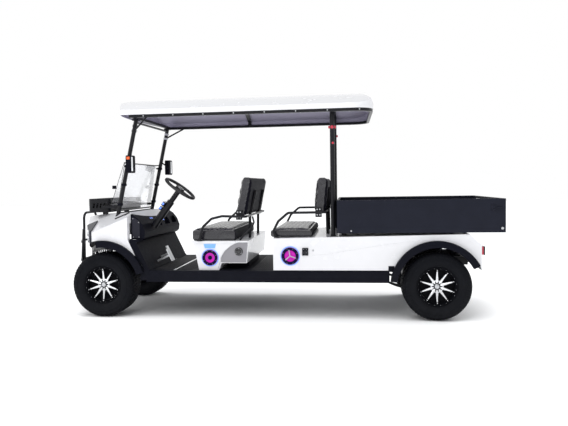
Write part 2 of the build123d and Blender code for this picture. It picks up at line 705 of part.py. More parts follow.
with BuildPart() as windshield_bar:
    add(tube([at(SHIELD_HEAD_X + 1, -SHIELD_HALF_WIDTH, SHIELD_TOP_Z),
              at(SHIELD_HEAD_X + 1, SHIELD_HALF_WIDTH, SHIELD_TOP_Z)], SHIELD_BAR_R, 0))
    for side in (-1, 1):
        y_low, y_high = sorted((side * (SHIELD_HALF_WIDTH - 30), side * (SHIELD_HALF_WIDTH - 4)))
        add(block(SHIELD_HEAD_X + 1, post_x(SHIELD_TOP_Z), y_low, y_high,
                  SHIELD_TOP_Z - SHIELD_BAR_R, SHIELD_TOP_Z + SHIELD_BAR_R))
        y_low, y_high = sorted((side * (SHIELD_HALF_WIDTH - 30), side * (POST_Y - POST_R - SEAT_GAP)))
        add(block(post_x(SHIELD_TOP_Z) - 10, post_x(SHIELD_TOP_Z) + 6, y_low, y_high,
                  SHIELD_TOP_Z - SHIELD_BAR_R, SHIELD_TOP_Z + SHIELD_BAR_R))
save(windshield_bar, "windshield_bar")

# ---------------------------------------------------------------- roof
ROOF_FRONT_X = 84
ROOF_SHOULDER_X = 210
ROOF_VISOR_RISE = 26
ROOF_CORNER_R = 150
ROOF_LINER = 4
ROOF_RAIL_INSET = 5
ROOF_RAIL_FRONT_X = 286
BOW_INSET = ROOF_SHELL + ROOF_LINER + 2 * SEAT_GAP
BOW_STATIONS = (1181, REAR_POST_X)


def roof_plan(inset, z_from, height):
    """Plan of the roof: a bowed front edge, straight sides and rounded rear corners."""
    half = ROOF_HALF_WIDTH - inset
    rear = ROOF_REAR_X - inset
    corner = ROOF_CORNER_R - inset
    bulge = 0.32 * corner
    with BuildPart() as prism:
        with BuildSketch(PLAN.offset(z_from)):
            with BuildLine():
                ThreePointArc((ROOF_SHOULDER_X, -half), (ROOF_FRONT_X + inset, 0), (ROOF_SHOULDER_X, half))
                Line((ROOF_SHOULDER_X, half), (rear - corner, half))
                ThreePointArc((rear - corner, half), (rear - bulge, half - bulge), (rear, half - corner))
                Line((rear, half - corner), (rear, corner - half))
                ThreePointArc((rear, corner - half), (rear - bulge, bulge - half), (rear - corner, -half))
                Line((rear - corner, -half), (ROOF_SHOULDER_X, -half))
            make_face()
        extrude(amount=height)
    return prism.part


def roof_form(inset, drop=0):
    """The crowned roof as a filled form, its faces moved in by inset and its bottom down by drop."""
    half = ROOF_HALF_WIDTH
    crown = ROOF_CROWN_Z - inset
    rim = ROOF_RIM_Z - inset
    bottom = ROOF_EDGE_Z - drop
    visor = bottom if drop else bottom + ROOF_VISOR_RISE * (1 - inset / 45)
    with BuildPart() as form:
        with BuildSketch(Plane(origin=at(0, 0, 0), x_dir=(0, 1, 0), z_dir=(1, 0, 0))):
            with BuildLine():
                ThreePointArc((-half, rim), (0, crown), (half, rim))
                Line((half, rim), (half, bottom))
                Line((half, bottom), (-half, bottom))
                Line((-half, bottom), (-half, rim))
            make_face()
        extrude(amount=ROOF_REAR_X + 100)
        with BuildSketch(SIDE.offset(-half)):
            with BuildLine():
                front = ROOF_FRONT_X - 2 + inset
                rear = ROOF_REAR_X + 4 - inset
                Line((front, visor), (front, rim + 6))
                ThreePointArc((front, rim + 6), (142 + inset / 2, 1965 - inset), (290, crown + 2))
                Line((290, crown + 2), (2240, crown + 2))
                ThreePointArc((2240, crown + 2), (2385, 1960 - inset), (rear, rim - 12))
                Line((rear, rim - 12), (rear, bottom))
                Line((rear, bottom), (ROOF_SHOULDER_X, bottom))
                Line((ROOF_SHOULDER_X, bottom), (front, visor))
            make_face()
        extrude(amount=2 * half, mode=Mode.INTERSECT)
        add(roof_plan(inset, bottom, 300), mode=Mode.INTERSECT)
    return form.part


def roof_layer(outer, inner):
    """The part of the crowned roof between two insets, open below."""
    with BuildPart() as layer:
        add(roof_form(outer))
        add(roof_form(inner, 8), mode=Mode.SUBTRACT)
    return layer.part


with BuildPart() as roof_shell:
    add(roof_layer(0, ROOF_SHELL))
save(roof_shell, "roof_shell")

with BuildPart() as roof_liner:
    add(roof_layer(ROOF_SHELL + SEAT_GAP, ROOF_SHELL + SEAT_GAP + ROOF_LINER))
save(roof_liner, "roof_liner")

with BuildPart() as roof_frame:
    depth = ROOF_RAIL - SEAT_GAP
    bow = roof_layer(BOW_INSET, BOW_INSET + ROOF_RAIL)
    bow_foot = ROOF_HALF_WIDTH - BOW_INSET - ROOF_RAIL
    add(roof_plan(ROOF_RAIL_INSET, ROOF_FRAME_BOTTOM_Z, depth))
    add(roof_plan(ROOF_RAIL_INSET + ROOF_RAIL, ROOF_FRAME_BOTTOM_Z, depth), mode=Mode.SUBTRACT)
    add(block(0, ROOF_RAIL_FRONT_X, -620, 620, ROOF_FRAME_BOTTOM_Z, ROOF_EDGE_Z), mode=Mode.SUBTRACT)
    header = post_x(1788)
    add(block(header - 16, header + 16, -590, 590, ROOF_FRAME_BOTTOM_Z, ROOF_EDGE_Z - SEAT_GAP))
    for station in BOW_STATIONS:
        add(bow & block(station - 16, station + 16, -620, 620, ROOF_FRAME_BOTTOM_Z, ROOF_CROWN_Z))
        for side in (-1, 1):
            y_low, y_high = sorted((side * bow_foot, side * (bow_foot + ROOF_RAIL)))
            add(block(station - 16, station + 16, y_low, y_high, ROOF_FRAME_BOTTOM_Z, ROOF_EDGE_Z + 1))
save(roof_frame, "roof_frame")

with BuildPart() as rear_posts:
    for side in (-1, 1):
        foot = deck_z(REAR_POST_X + 24) + SEAT_GAP
        add(tube([at(REAR_POST_X, side * REAR_POST_Y, foot), at(REAR_POST_X, side * REAR_POST_Y, 1900)],
                 REAR_POST_R, 0))
        rail_inner = ROOF_HALF_WIDTH - BOW_INSET - ROOF_RAIL - SEAT_GAP
        y_low, y_high = sorted((side * REAR_POST_Y, side * rail_inner))
        add(block(REAR_POST_X - 12, REAR_POST_X + 12, y_low, y_high, 1798, 1818))
        y_low, y_high = sorted((side * (REAR_POST_Y - 30), side * (REAR_POST_Y + 30)))
        add(block(REAR_POST_X - 24, REAR_POST_X + 24, y_low, y_high, foot, foot + 8))
    add(roof_layer(0, BOW_INSET + ROOF_RAIL + SEAT_GAP), mode=Mode.SUBTRACT)
save(rear_posts, "rear_posts")

# ---------------------------------------------------------------- seats
def cushion(outline, half_width, soften):
    """A seat pad: its side outline across the cart, its edges rounded."""
    with BuildPart() as pad:
        add(slab(outline, -half_width, half_width))
        fillet(pad.edges().filter_by(Axis.Y), soften)
    return pad.part


POD_TOP_Z = 685
ARM_Y = 575
ARM_R = 11
PAD_HALF_WIDTH = 545
BACK_HALF_WIDTH = 506
POD_RECESS = 12
POD_SIDE = ((838, POD_TOP_Z), (888, FLOOR_Z + SEAT_GAP), (1071, FLOOR_Z + SEAT_GAP), (1092, 486), (1322, 486),
            (1340, POD_TOP_Z))
PORT = (1252, 590, 35)          # round port in the recess of the pod: centre in side view, radius

with BuildPart() as front_seat_pod:
    add(slab(POD_SIDE, -SEAT_HALF_WIDTH, SEAT_HALF_WIDTH))
    hollow = SEAT_HALF_WIDTH - POD_RECESS - PANEL
    with BuildSketch(SIDE.offset(-hollow)):
        with BuildLine():
            Polyline(*POD_SIDE, close=True)
        make_face()
        offset(amount=-PANEL)
    extrude(amount=2 * hollow, mode=Mode.SUBTRACT)
    add(block(894, 1066, -540, 540, FLOOR_Z, FLOOR_Z + 10), mode=Mode.SUBTRACT)
    with BuildSketch(SIDE.offset(SEAT_HALF_WIDTH - POD_RECESS)):
        with BuildLine():
            Polyline((1400, 440), (1058, 440), (1071, 463), (1084, 528))
            ThreePointArc((1084, 528), (1142, 614), (1240, 671))
            Polyline((1240, 671), (1400, 671), (1400, 440))
        make_face()
        with Locations((PORT[0], PORT[1])):
            Circle(PORT[2], mode=Mode.SUBTRACT)
            Circle(PORT[2] - 10)
    extrude(amount=POD_RECESS + 1, mode=Mode.SUBTRACT)
    with BuildSketch(SIDE.offset(-SEAT_HALF_WIDTH - 1)):
        with BuildLine():
            Polyline((1400, 440), (1058, 440), (1071, 463), (1084, 528))
            ThreePointArc((1084, 528), (1142, 614), (1240, 671))
            Polyline((1240, 671), (1400, 671), (1400, 440))
        make_face()
    extrude(amount=POD_RECESS + 1, mode=Mode.SUBTRACT)
save(front_seat_pod, "front_seat_pod")

with BuildPart() as seat_plinth:
    add(block(1118, 1300, -300, 300, FLOOR_Z + SEAT_GAP, 486 - SEAT_GAP))
save(seat_plinth, "seat_plinth")

with BuildPart() as battery_pack:
    add(block(1125, 1305, -260, 260, 486 + PANEL + SEAT_GAP, 665))
save(battery_pack, "battery_pack")

SEATS = (
    # name, pad outline, back outline, arm hoop, back uprights, arm foot (from, to, seat height), in side view
    ("front",
     ((803, POD_TOP_Z + SEAT_GAP), (1240, POD_TOP_Z + SEAT_GAP), (1232, 795), (803, 795)),
     ((1210, 880), (1296, 1268), (1372, 1268), (1288, 880)),
     ((900, 692), (934, 812), (1014, 885), (1110, 907), (1320, 900)),
     ((1302, POD_TOP_Z + SEAT_GAP), (1306, 900), (1362, 1130)),
     (880, 922, POD_TOP_Z + SEAT_GAP)),
    ("rear",
     ((1514, 715.3), (1929, 715.3), (1921, 790), (1514, 790)),
     ((1921, 905), (1962, 1250), (2050, 1250), (2009, 905)),
     ((1592, 718), (1566, 770), (1612, 858), (1699, 931), (2030, 933)),
     ((2030, 718.5), (2027, 920), (2051.5, 1150)),
     (1570, 1612, 714.4)),
)
for name, pad_outline, back_outline, hoop, upright, foot in SEATS:
    with BuildPart() as pad:
        add(cushion(pad_outline, PAD_HALF_WIDTH, 24))
    save(pad, f"{name}_seat_cushion")
    with BuildPart() as back:
        add(cushion(back_outline, BACK_HALF_WIDTH, 24))
    save(back, f"{name}_seat_back")
    near = [at(x, -ARM_Y, z) for x, z in hoop]
    far = [at(x, ARM_Y, z) for x, z in reversed(hoop)]
    with BuildPart() as frame:
        add(tube(near + far, ARM_R, 40))
        for side in (-1, 1):
            add(tube([at(x, side * 250, z) for x, z in upright], 13, 60))
            y_low, y_high = sorted((side * (PAD_HALF_WIDTH + 3), side * (ARM_Y + ARM_R)))
            add(block(foot[0], foot[1], y_low, y_high, foot[2], foot[2] + 8))
    save(frame, f"{name}_seat_frame")

# ---------------------------------------------------------------- rear body
BODY_SIDE = (
    (DECK_FRONT_X, BODY_BOTTOM_Z),
    (DECK_FRONT_X, DECK_FRONT_Z),
    (DECK_REAR_X, DECK_REAR_Z),
    (3300, 672),
    (3350, 640),
    (3390, 600),
    (3390, 507),
    (3330, BODY_BOTTOM_Z),
)
RIDGE_PROUD = 3
BODY_RIDGE = (
    (1905, 560),
    (2062, 575),
    (2319, 618),
    (2655, 669),
    (2904, 693),
    (3149, 692),
    (3262, 662),
    (3262, 440),
    (1905, 440),
)
BODY_TAIL_X = 3385


def body_form(inset, drop=0):
    """The rear body as a filled form, its faces moved in by inset and its bottom down by drop."""
    half = BODY_HALF_WIDTH - inset
    with BuildPart() as form:
        with BuildSketch(SIDE.offset(-half)):
            with BuildLine():
                Polyline(*BODY_SIDE, close=True)
            make_face()
            if inset:
                offset(amount=-inset)
        extrude(amount=2 * half)
        if drop:
            add(block(DECK_FRONT_X + inset, 3325, -half, half, BODY_BOTTOM_Z - drop, BODY_BOTTOM_Z + 10))
        with BuildSketch(PLAN.offset(BODY_BOTTOM_Z - 60)):
            with BuildLine():
                ThreePointArc((3327 - inset, -half), (BODY_TAIL_X - inset, 0), (3327 - inset, half))
                Line((3327 - inset, half), (DECK_FRONT_X + inset, half))
                Line((DECK_FRONT_X + inset, half), (DECK_FRONT_X + inset, -half))
                Line((DECK_FRONT_X + inset, -half), (3327 - inset, -half))
            make_face()
        extrude(amount=500, mode=Mode.INTERSECT)
    return form.part


with BuildPart() as rear_body:
    add(body_form(0))
    for side in (-1, 1):
        y_low, y_high = sorted((side * (BODY_HALF_WIDTH - 1), side * (BODY_HALF_WIDTH + RIDGE_PROUD)))
        add(slab(BODY_RIDGE, y_low, y_high))
    add(body_form(PANEL, 30), mode=Mode.SUBTRACT)
    add(arch_cutter(REAR_AXLE, REAR_ARCH_R, 350, BODY_HALF_WIDTH + 30), mode=Mode.SUBTRACT)
save(rear_body, "rear_body")

with BuildPart() as tail_lights:
    for side in (-1, 1):
        y_low, y_high = sorted((side * 440, side * 530))
        add(block(3300, 3368, y_low, y_high, 556, 624))
    add(body_form(-SEAT_GAP), mode=Mode.SUBTRACT)
save(tail_lights, "tail_lights")

SPEAKERS = (
    # name, centre in side view, radius, face of the panel that holds it
    ("front", (991, 536), 70, SEAT_HALF_WIDTH),
    ("rear", (1715, 556), 76, BODY_HALF_WIDTH),
)
for name, middle, radius, face_y in SPEAKERS:
    with BuildPart() as speaker:
        add(disc(middle[0], middle[1], face_y + SEAT_GAP, face_y + 12, radius))
        add(disc(middle[0], middle[1], face_y + 4, face_y + 12, radius - 14), mode=Mode.SUBTRACT)
        mirror(about=Plane.XZ)
    save(speaker, f"{name}_speakers")

with BuildPart() as switch_panel:
    middle, wide, tall = (1847, 593), 52, 65
    add(block(middle[0] - wide / 2, middle[0] + wide / 2, -BODY_HALF_WIDTH - 12, -BODY_HALF_WIDTH - SEAT_GAP,
              middle[1] - tall / 2, middle[1] + tall / 2))
save(switch_panel, "switch_panel")

# ---------------------------------------------------------------- cargo bed
LUG_HALF = 7
EAR_THICK = 8
with BuildPart() as cargo_bed:
    add(block(BED_FRONT_X, BED_REAR_X - TAILGATE_THICK - TAILGATE_GAP, -BED_HALF_WIDTH + BED_WALL,
              BED_HALF_WIDTH - BED_WALL, BED_FLOOR_Z, BED_FLOOR_Z + BED_FLOOR))
    add(block(BED_FRONT_X, BED_FRONT_X + BED_WALL, -BED_HALF_WIDTH, BED_HALF_WIDTH, BED_FLOOR_Z, BED_TOP_Z))
    for side in (-1, 1):
        y_low, y_high = sorted((side * (BED_HALF_WIDTH - BED_WALL), side * BED_HALF_WIDTH))
        add(block(BED_FRONT_X, BED_REAR_X, y_low, y_high, BED_SKIRT_Z, BED_TOP_Z))
        y_low, y_high = side * BED_HINGE_Y - LUG_HALF, side * BED_HINGE_Y + LUG_HALF
        add(disc(DECK_REAR_X, BED_PIN_Z, y_low, y_high, 13))
        add(block(DECK_REAR_X - 13, DECK_REAR_X + 13, y_low, y_high, BED_PIN_Z, BED_FLOOR_Z + 1))
        add(disc(DECK_REAR_X, BED_PIN_Z, y_low - 1, y_high + 1, BED_PIN_R + RUN_FIT), mode=Mode.SUBTRACT)
        gate_pin_y = sorted((side * (BED_HALF_WIDTH - BED_WALL + 2), side * (BED_HALF_WIDTH - BED_WALL - 28)))
        add(disc(BED_REAR_X - TAILGATE_THICK / 2, BED_FLOOR_Z + 6, gate_pin_y[0], gate_pin_y[1], TAILGATE_PIN_R))
save(cargo_bed, "cargo_bed")

with BuildPart() as tailgate:
    gate_half = BED_HALF_WIDTH - BED_WALL - TAILGATE_GAP
    add(block(BED_REAR_X - TAILGATE_THICK, BED_REAR_X, -gate_half, gate_half, BED_FLOOR_Z - 3, BED_TOP_Z))
    for side in (-1, 1):
        bore = sorted((side * (gate_half - 26), side * (gate_half + 2)))
        add(disc(BED_REAR_X - TAILGATE_THICK / 2, BED_FLOOR_Z + 6, bore[0], bore[1], TAILGATE_PIN_R + RUN_FIT),
            mode=Mode.SUBTRACT)
save(tailgate, "tailgate")

with BuildPart() as bed_mounts:
    for side in (-1, 1):
        for step in (-1, 1):
            ear_near = side * BED_HINGE_Y + step * (LUG_HALF + 1)
            y_low, y_high = sorted((ear_near, ear_near + step * EAR_THICK))
            ear = ((DECK_REAR_X - 30, DECK_REAR_Z + SEAT_GAP), (DECK_REAR_X + 8, DECK_REAR_Z + SEAT_GAP),
                   (DECK_REAR_X + 12, BED_PIN_Z), (DECK_REAR_X - 12, BED_PIN_Z))
            add(slab(ear, y_low, y_high))
            add(disc(DECK_REAR_X, BED_PIN_Z, y_low, y_high, 13))
        reach = LUG_HALF + 1 + EAR_THICK
        add(disc(DECK_REAR_X, BED_PIN_Z, side * BED_HINGE_Y - reach, side * BED_HINGE_Y + reach, BED_PIN_R))
        y_low, y_high = sorted((side * 380, side * 440))
        add(block(2160, 2200, y_low, y_high, deck_z(2200) + SEAT_GAP, BED_FLOOR_Z - SEAT_GAP))
save(bed_mounts, "bed_mounts")

# ---------------------------------------------------------------- nose guard, basket, mirrors
GUARD_R = 14
with BuildPart() as brush_guard:
    bow = [at(-288, -350, 785), at(-310, -350, 480), at(-392, -190, 470)]
    bow += [at(p[0] - FRONT_AXLE_X, -p[1], p[2]) for p in reversed(bow)]
    add(tube(bow, GUARD_R, 45))
    add(tube([at(-388, -140, 470), at(-382, -140, 930), at(-382, 140, 930), at(-388, 140, 470)], 12, 60))
    add(tube([at(-308, -350, 660), at(-384, -190, 660), at(-384, 190, 660), at(-308, 350, 660)], 11, 40))
    for side in (-1, 1):
        y_low, y_high = sorted((side * 148, side * 192))
        add(block(-274, -262 - SEAT_GAP, y_low, y_high, 345, 395))
        add(tube([at(-273, side * 170, 378), at(-388, side * 172, 468)], 12, 0))
    add(block(-262 - SEAT_GAP, -200, -250, 250, 300, 430), mode=Mode.SUBTRACT)
save(brush_guard, "brush_guard")

BASKET = (-205, 6, 430, 945, 1072)    # front, rear, half width, bottom, top
with BuildPart() as front_basket:
    front, rear, half, bottom, top = BASKET
    with BuildSketch(PLAN.offset(bottom)):
        with Locations(((front + rear) / 2, 0)):
            RectangleRounded(rear - front, 2 * half, 40)
    extrude(amount=top - bottom)
    with BuildSketch(PLAN.offset(bottom + 4)):
        with Locations(((front + rear) / 2, 0)):
            RectangleRounded(rear - front - 8, 2 * half - 8, 36)
    extrude(amount=top - bottom, mode=Mode.SUBTRACT)
    with BuildSketch(SIDE.offset(-half - 5)):
        for index in range(4):
            with Locations((front + 60 + index * 34, (bottom + top) / 2)):
                SlotCenterToCenter(34, 18, rotation=75)
    extrude(amount=2 * half + 10, mode=Mode.SUBTRACT)
    for side in (-1, 1):
        y_low, y_high = sorted((side * 250, side * 290))
        add(block(-120, -80, y_low, y_high, 880, bottom + 1))
        y_low, y_high = sorted((side * (SHIELD_HALF_WIDTH + 6), side * (SHIELD_HALF_WIDTH + 16)))
        add(block(-60, post_x(997) - POST_R - 3, y_low, y_high, 985, 1009))
        y_low, y_high = sorted((side * (half - 3), side * (SHIELD_HALF_WIDTH + 7)))
        add(block(-60, -40, y_low, y_high, 985, 1009))
    add(cowl_form(-SEAT_GAP), mode=Mode.SUBTRACT)
save(front_basket, "front_basket")

with BuildPart() as mirrors:
    for side in (-1, 1):
        height = 1440
        add(tube([at(post_x(height), side * POST_Y, height), at(258, side * 540, 1400)], 7, 0))
        add(tube([at(post_x(1300), side * POST_Y, 1300), at(post_x(1600), side * POST_Y, 1600)],
                 POST_R + SEAT_GAP, 0), mode=Mode.SUBTRACT)
        y_low, y_high = sorted((side * 505, side * 620))
        add(block(252, 298, y_low, y_high, 1305, 1462))
    fillet(mirrors.edges().filter_by(Axis.X), 18)
save(mirrors, "mirrors")
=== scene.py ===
"""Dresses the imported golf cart: finishes, tyres, rims, padded seats, lamps and trim.

Metres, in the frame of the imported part: the nose points to -X, the driver's side is -Y, +Z is up.
Places given to at() are measured from the front axle along the cart.
"""
import json
import math

import bmesh
import bpy
import numpy as np
from mathutils import Matrix, Vector


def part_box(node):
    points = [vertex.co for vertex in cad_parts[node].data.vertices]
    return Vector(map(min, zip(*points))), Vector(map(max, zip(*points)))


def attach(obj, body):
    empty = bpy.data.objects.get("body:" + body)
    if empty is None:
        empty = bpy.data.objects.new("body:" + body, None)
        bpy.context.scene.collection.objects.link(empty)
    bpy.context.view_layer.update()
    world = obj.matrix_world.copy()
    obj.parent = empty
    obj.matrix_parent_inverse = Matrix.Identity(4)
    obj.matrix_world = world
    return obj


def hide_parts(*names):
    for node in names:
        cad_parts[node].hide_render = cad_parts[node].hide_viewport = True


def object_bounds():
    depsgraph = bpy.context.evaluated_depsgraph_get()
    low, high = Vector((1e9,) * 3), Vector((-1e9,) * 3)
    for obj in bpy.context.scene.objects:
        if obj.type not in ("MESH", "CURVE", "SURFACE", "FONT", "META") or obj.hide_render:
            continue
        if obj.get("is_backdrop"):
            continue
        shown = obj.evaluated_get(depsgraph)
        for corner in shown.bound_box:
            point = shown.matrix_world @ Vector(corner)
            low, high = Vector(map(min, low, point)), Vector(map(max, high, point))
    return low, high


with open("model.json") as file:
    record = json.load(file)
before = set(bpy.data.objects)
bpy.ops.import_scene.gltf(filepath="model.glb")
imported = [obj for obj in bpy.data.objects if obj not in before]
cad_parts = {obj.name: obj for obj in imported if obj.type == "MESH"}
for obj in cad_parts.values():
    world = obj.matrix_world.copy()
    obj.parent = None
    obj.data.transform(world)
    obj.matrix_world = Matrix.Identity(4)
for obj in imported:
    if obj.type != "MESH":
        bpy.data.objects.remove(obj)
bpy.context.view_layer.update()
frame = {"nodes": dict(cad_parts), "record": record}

# ---------------------------------------------------------------- places read from the frame
JOINTS = {joint["name"]: joint for joint in frame["record"]["behaviour"]["joints"]}
SLOT_OF = {part["node"]: part["material_slot"] for part in frame["record"]["subparts"]}
FRONT_AXLE_X = JOINTS["roll_front_left"]["pos_m"][0]
REAR_AXLE_X = JOINTS["roll_rear_left"]["pos_m"][0]
AXLE_Z = JOINTS["roll_front_left"]["pos_m"][2]
STEERING_HUB = Vector(JOINTS["steering_turn"]["pos_m"])
STEERING_UP = Vector(JOINTS["steering_turn"]["axis"])
CORNERS = ("front_left", "front_right", "rear_left", "rear_right")
SIDES = (-1, 1)


def at(x, y, z):
    """A point measured from the front axle along the cart."""
    return Vector((FRONT_AXLE_X + x, y, z))


def node(name):
    """The carried-over CAD object of a node."""
    return frame["nodes"][name]


# ---------------------------------------------------------------- finishes
COAT_ROUGHNESS = 0.06
REFRACTION = 1.46
LEAST_ROUGHNESS = 0.02
GRAIN_HEIGHT = 0.0012
# A grey that some finishes are mixed towards in streaks near the ground, so they turn darker towards the
# bottom.
LOW_DARKENING_COLOUR = (0.3, 0.29, 0.28, 1)
LOW_DARKENING_STARTS_Z = 0.75
LOW_DARKENING_FULL_Z = 0.1


def new_node(tree, kind, *sockets, **values):
    """A shader node fed by sockets in the order of its inputs; other inputs and settings go by name."""
    made = tree.nodes.new(kind)
    for socket, way_in in zip(sockets, made.inputs):
        tree.links.new(socket, way_in)
    for key, value in values.items():
        if hasattr(made, key):
            setattr(made, key, value)
        else:
            made.inputs[key].default_value = value
    return made


def blend(tree, amount):
    """A colour mix that amount drives: its two colour inputs and its colour output."""
    made = new_node(tree, "ShaderNodeMix", amount, data_type="RGBA")
    return [socket for socket in (*made.inputs, *made.outputs) if socket.type == "RGBA"]


def finish(name, colour, roughness, mottle, grain, metallic=0.0, coat=0.0, spread=0.07, cells=0.0, dust=0.0,
           stretch=(1, 1, 1), glow=0.0, clear=0.0, specular=0.5):
    """A finish whose colour, gloss and surface vary: clouds of colour, patches of gloss and a fine grain.

    mottle and grain are a scale and a strength, spread is how far the gloss wanders, cells is the scale of a
    pebbled grain, dust is how far the colour darkens towards the ground and stretch draws the pattern out
    into a brushing.
    """
    material = bpy.data.materials.new(name)
    material.use_nodes = True
    tree = material.node_tree
    link = tree.links.new
    shader = tree.nodes["Principled BSDF"]

    def noise(vector, **values):
        return new_node(tree, "ShaderNodeTexNoise", vector, **values).outputs["Fac"]

    for key, value in (("Metallic", metallic), ("Coat Weight", coat), ("Coat Roughness", COAT_ROUGHNESS),
                       ("Specular IOR Level", specular), ("Transmission Weight", clear), ("IOR", REFRACTION)):
        shader.inputs[key].default_value = value
    place = new_node(tree, "ShaderNodeTexCoord").outputs["Object"]
    scaled = new_node(tree, "ShaderNodeMapping", place, Scale=stretch).outputs[0]

    darker, lighter, tinted = blend(tree, noise(scaled, Scale=mottle[0], Detail=5.0, Roughness=0.6))
    darker.default_value = [c * (1 - mottle[1]) for c in colour] + [1]
    lighter.default_value = [min(1, c * (1 + mottle[1])) for c in colour] + [1]
    # Darker towards the ground: below a height, the colour is mixed towards a grey in noisy streaks.
    if dust:
        height = new_node(tree, "ShaderNodeSeparateXYZ", place).outputs["Z"]
        near_ground = {"From Min": LOW_DARKENING_STARTS_Z, "From Max": LOW_DARKENING_FULL_Z, "To Max": dust}
        low = new_node(tree, "ShaderNodeMapRange", height, **near_ground).outputs[0]
        streaks = noise(place, Scale=11.0, Detail=6.0)
        amount = new_node(tree, "ShaderNodeMath", low, streaks, operation="MULTIPLY").outputs[0]
        undarkened, darkened, with_darkening = blend(tree, amount)
        link(tinted, undarkened)
        darkened.default_value = LOW_DARKENING_COLOUR
        tinted = with_darkening
    link(tinted, shader.inputs["Base Color"])

    patches = noise(scaled, Scale=mottle[0] * 5, Detail=4.0)
    gloss = {"To Min": max(LEAST_ROUGHNESS, roughness - spread), "To Max": roughness + spread}
    link(new_node(tree, "ShaderNodeMapRange", patches, **gloss).outputs[0], shader.inputs["Roughness"])

    height = noise(scaled, Scale=grain[0], Detail=3.0)
    if cells:
        cell = new_node(tree, "ShaderNodeTexVoronoi", scaled, Scale=cells, feature="DISTANCE_TO_EDGE")
        height = new_node(tree, "ShaderNodeMath", cell.outputs["Distance"], height,
                          operation="ADD").outputs[0]
    bump = new_node(tree, "ShaderNodeBump", Strength=grain[1], Distance=GRAIN_HEIGHT)
    link(height, bump.inputs["Height"])
    link(bump.outputs[0], shader.inputs["Normal"])
    if glow:
        shader.inputs["Emission Color"].default_value = [*colour, 1]
        shader.inputs["Emission Strength"].default_value = glow
    return material


LOOKS = {
    "tyre_rubber": ((0.0042, 0.0048, 0.007), 0.6, (14, 0.3), (520, 0.35), dict(dust=0.03, specular=0.07)),
    "machined_alloy": ((0.74, 0.75, 0.77), 0.24, (30, 0.08), (900, 0.05),
                       dict(metallic=1.0, stretch=(1, 12, 1))),
    # The white panels turn grey towards the ground.
    "white_panel": ((0.8, 0.8, 0.82), 0.26, (2.2, 0.03), (34, 0.025),
                    dict(coat=0.5, spread=0.05, dust=0.22)),
    "black_steel": ((0.006, 0.0062, 0.0085), 0.34, (9, 0.25), (700, 0.16), dict(specular=0.25)),
    "black_plastic": ((0.0065, 0.007, 0.0115), 0.52, (7, 0.22), (500, 0.2),
                      dict(cells=380, dust=0.03, specular=0.03)),
    "roof_lining": ((0.34, 0.32, 0.42), 0.55, (3, 0.12), (340, 0.25), dict(cells=260)),
    "clear_screen": ((0.895, 0.9, 0.915), 0.04, (3, 0.02), (20, 0.01), dict(spread=0.02, clear=1.0)),
    "seat_vinyl": ((0.01, 0.0095, 0.014), 0.26, (16, 0.3), (380, 0.16),
                   dict(coat=0.75, spread=0.08, cells=430, specular=0.4)),
    "bed_panel": ((0.012, 0.0135, 0.0225), 0.42, (6, 0.25), (600, 0.2), dict(spread=0.1, specular=0.12)),
    "lamp_lens": ((0.016, 0.018, 0.026), 0.12, (30, 0.4), (90, 0.08),
                  dict(coat=0.15, specular=0.25, spread=0.04)),
    "red_lens": ((0.46, 0.01, 0.035), 0.14, (60, 0.3), (220, 0.2), dict(coat=0.4, spread=0.05, glow=0.12)),
    # The speaker cone's magenta is its own colour; its glow is painted light, since the cone is no lamp.
    "speaker_cone": ((0.42, 0.004, 0.33), 0.3, (26, 0.45), (700, 0.3), dict(glow=0.3, specular=0.3)),
    "pedal_metal": ((0.62, 0.63, 0.65), 0.34, (40, 0.12), (800, 0.12),
                    dict(metallic=1.0, stretch=(1, 9, 1))),
    "grip_rubber": ((0.014, 0.014, 0.016), 0.6, (20, 0.2), (600, 0.3), dict(cells=600)),
    "gloss_black": ((0.01, 0.01, 0.013), 0.16, (12, 0.3), (300, 0.05), dict(coat=0.5)),
    "mirror_glass": ((0.83, 0.85, 0.88), 0.03, (2, 0.02), (10, 0.01), dict(metallic=1.0, spread=0.01)),
    "amber": ((0.7, 0.105, 0.025), 0.18, (80, 0.2), (260, 0.2), dict(glow=0.4)),
    "halo_blue": ((0.16, 0.33, 0.74), 0.35, (40, 0.15), (200, 0.1), dict(glow=0.55, specular=0.1)),
    "satin_black": ((0.0042, 0.0044, 0.006), 0.5, (18, 0.3), (500, 0.12), dict(specular=0.05)),
    "navy_bezel": ((0.004, 0.004, 0.033), 0.42, (30, 0.3), (500, 0.12), dict(specular=0.08)),
    "led_blue": ((0.1, 0.22, 0.85), 0.25, (60, 0.2), (200, 0.1), dict(glow=1.1)),
    "shell_vinyl": ((0.0085, 0.0085, 0.0135), 0.62, (10, 0.3), (420, 0.2), dict(cells=320, specular=0.05)),
    "dash_grey": ((0.023, 0.023, 0.032), 0.45, (12, 0.2), (500, 0.2), dict(cells=380, specular=0.12)),
    # This grey is painted shade, laid in the recess of the front seat pod.
    "pod_shade_grey": ((0.27, 0.265, 0.285), 0.4, (5, 0.06), (60, 0.04), dict(coat=0.1)),
    "zinc": ((0.52, 0.53, 0.55), 0.32, (60, 0.25), (900, 0.2), dict(metallic=1.0)),
    "shock_red": ((0.42, 0.02, 0.02), 0.3, (20, 0.2), (500, 0.15), dict(dust=0.3)),
    "pale_trim": ((0.46, 0.46, 0.5), 0.38, (10, 0.15), (400, 0.15), {}),
}
FINISH = {name: finish(name, *given, **rest) for name, (*given, rest) in LOOKS.items()}
for name, carried in frame["nodes"].items():
    for place in carried.material_slots:
        place.material = FINISH[SLOT_OF[name]]


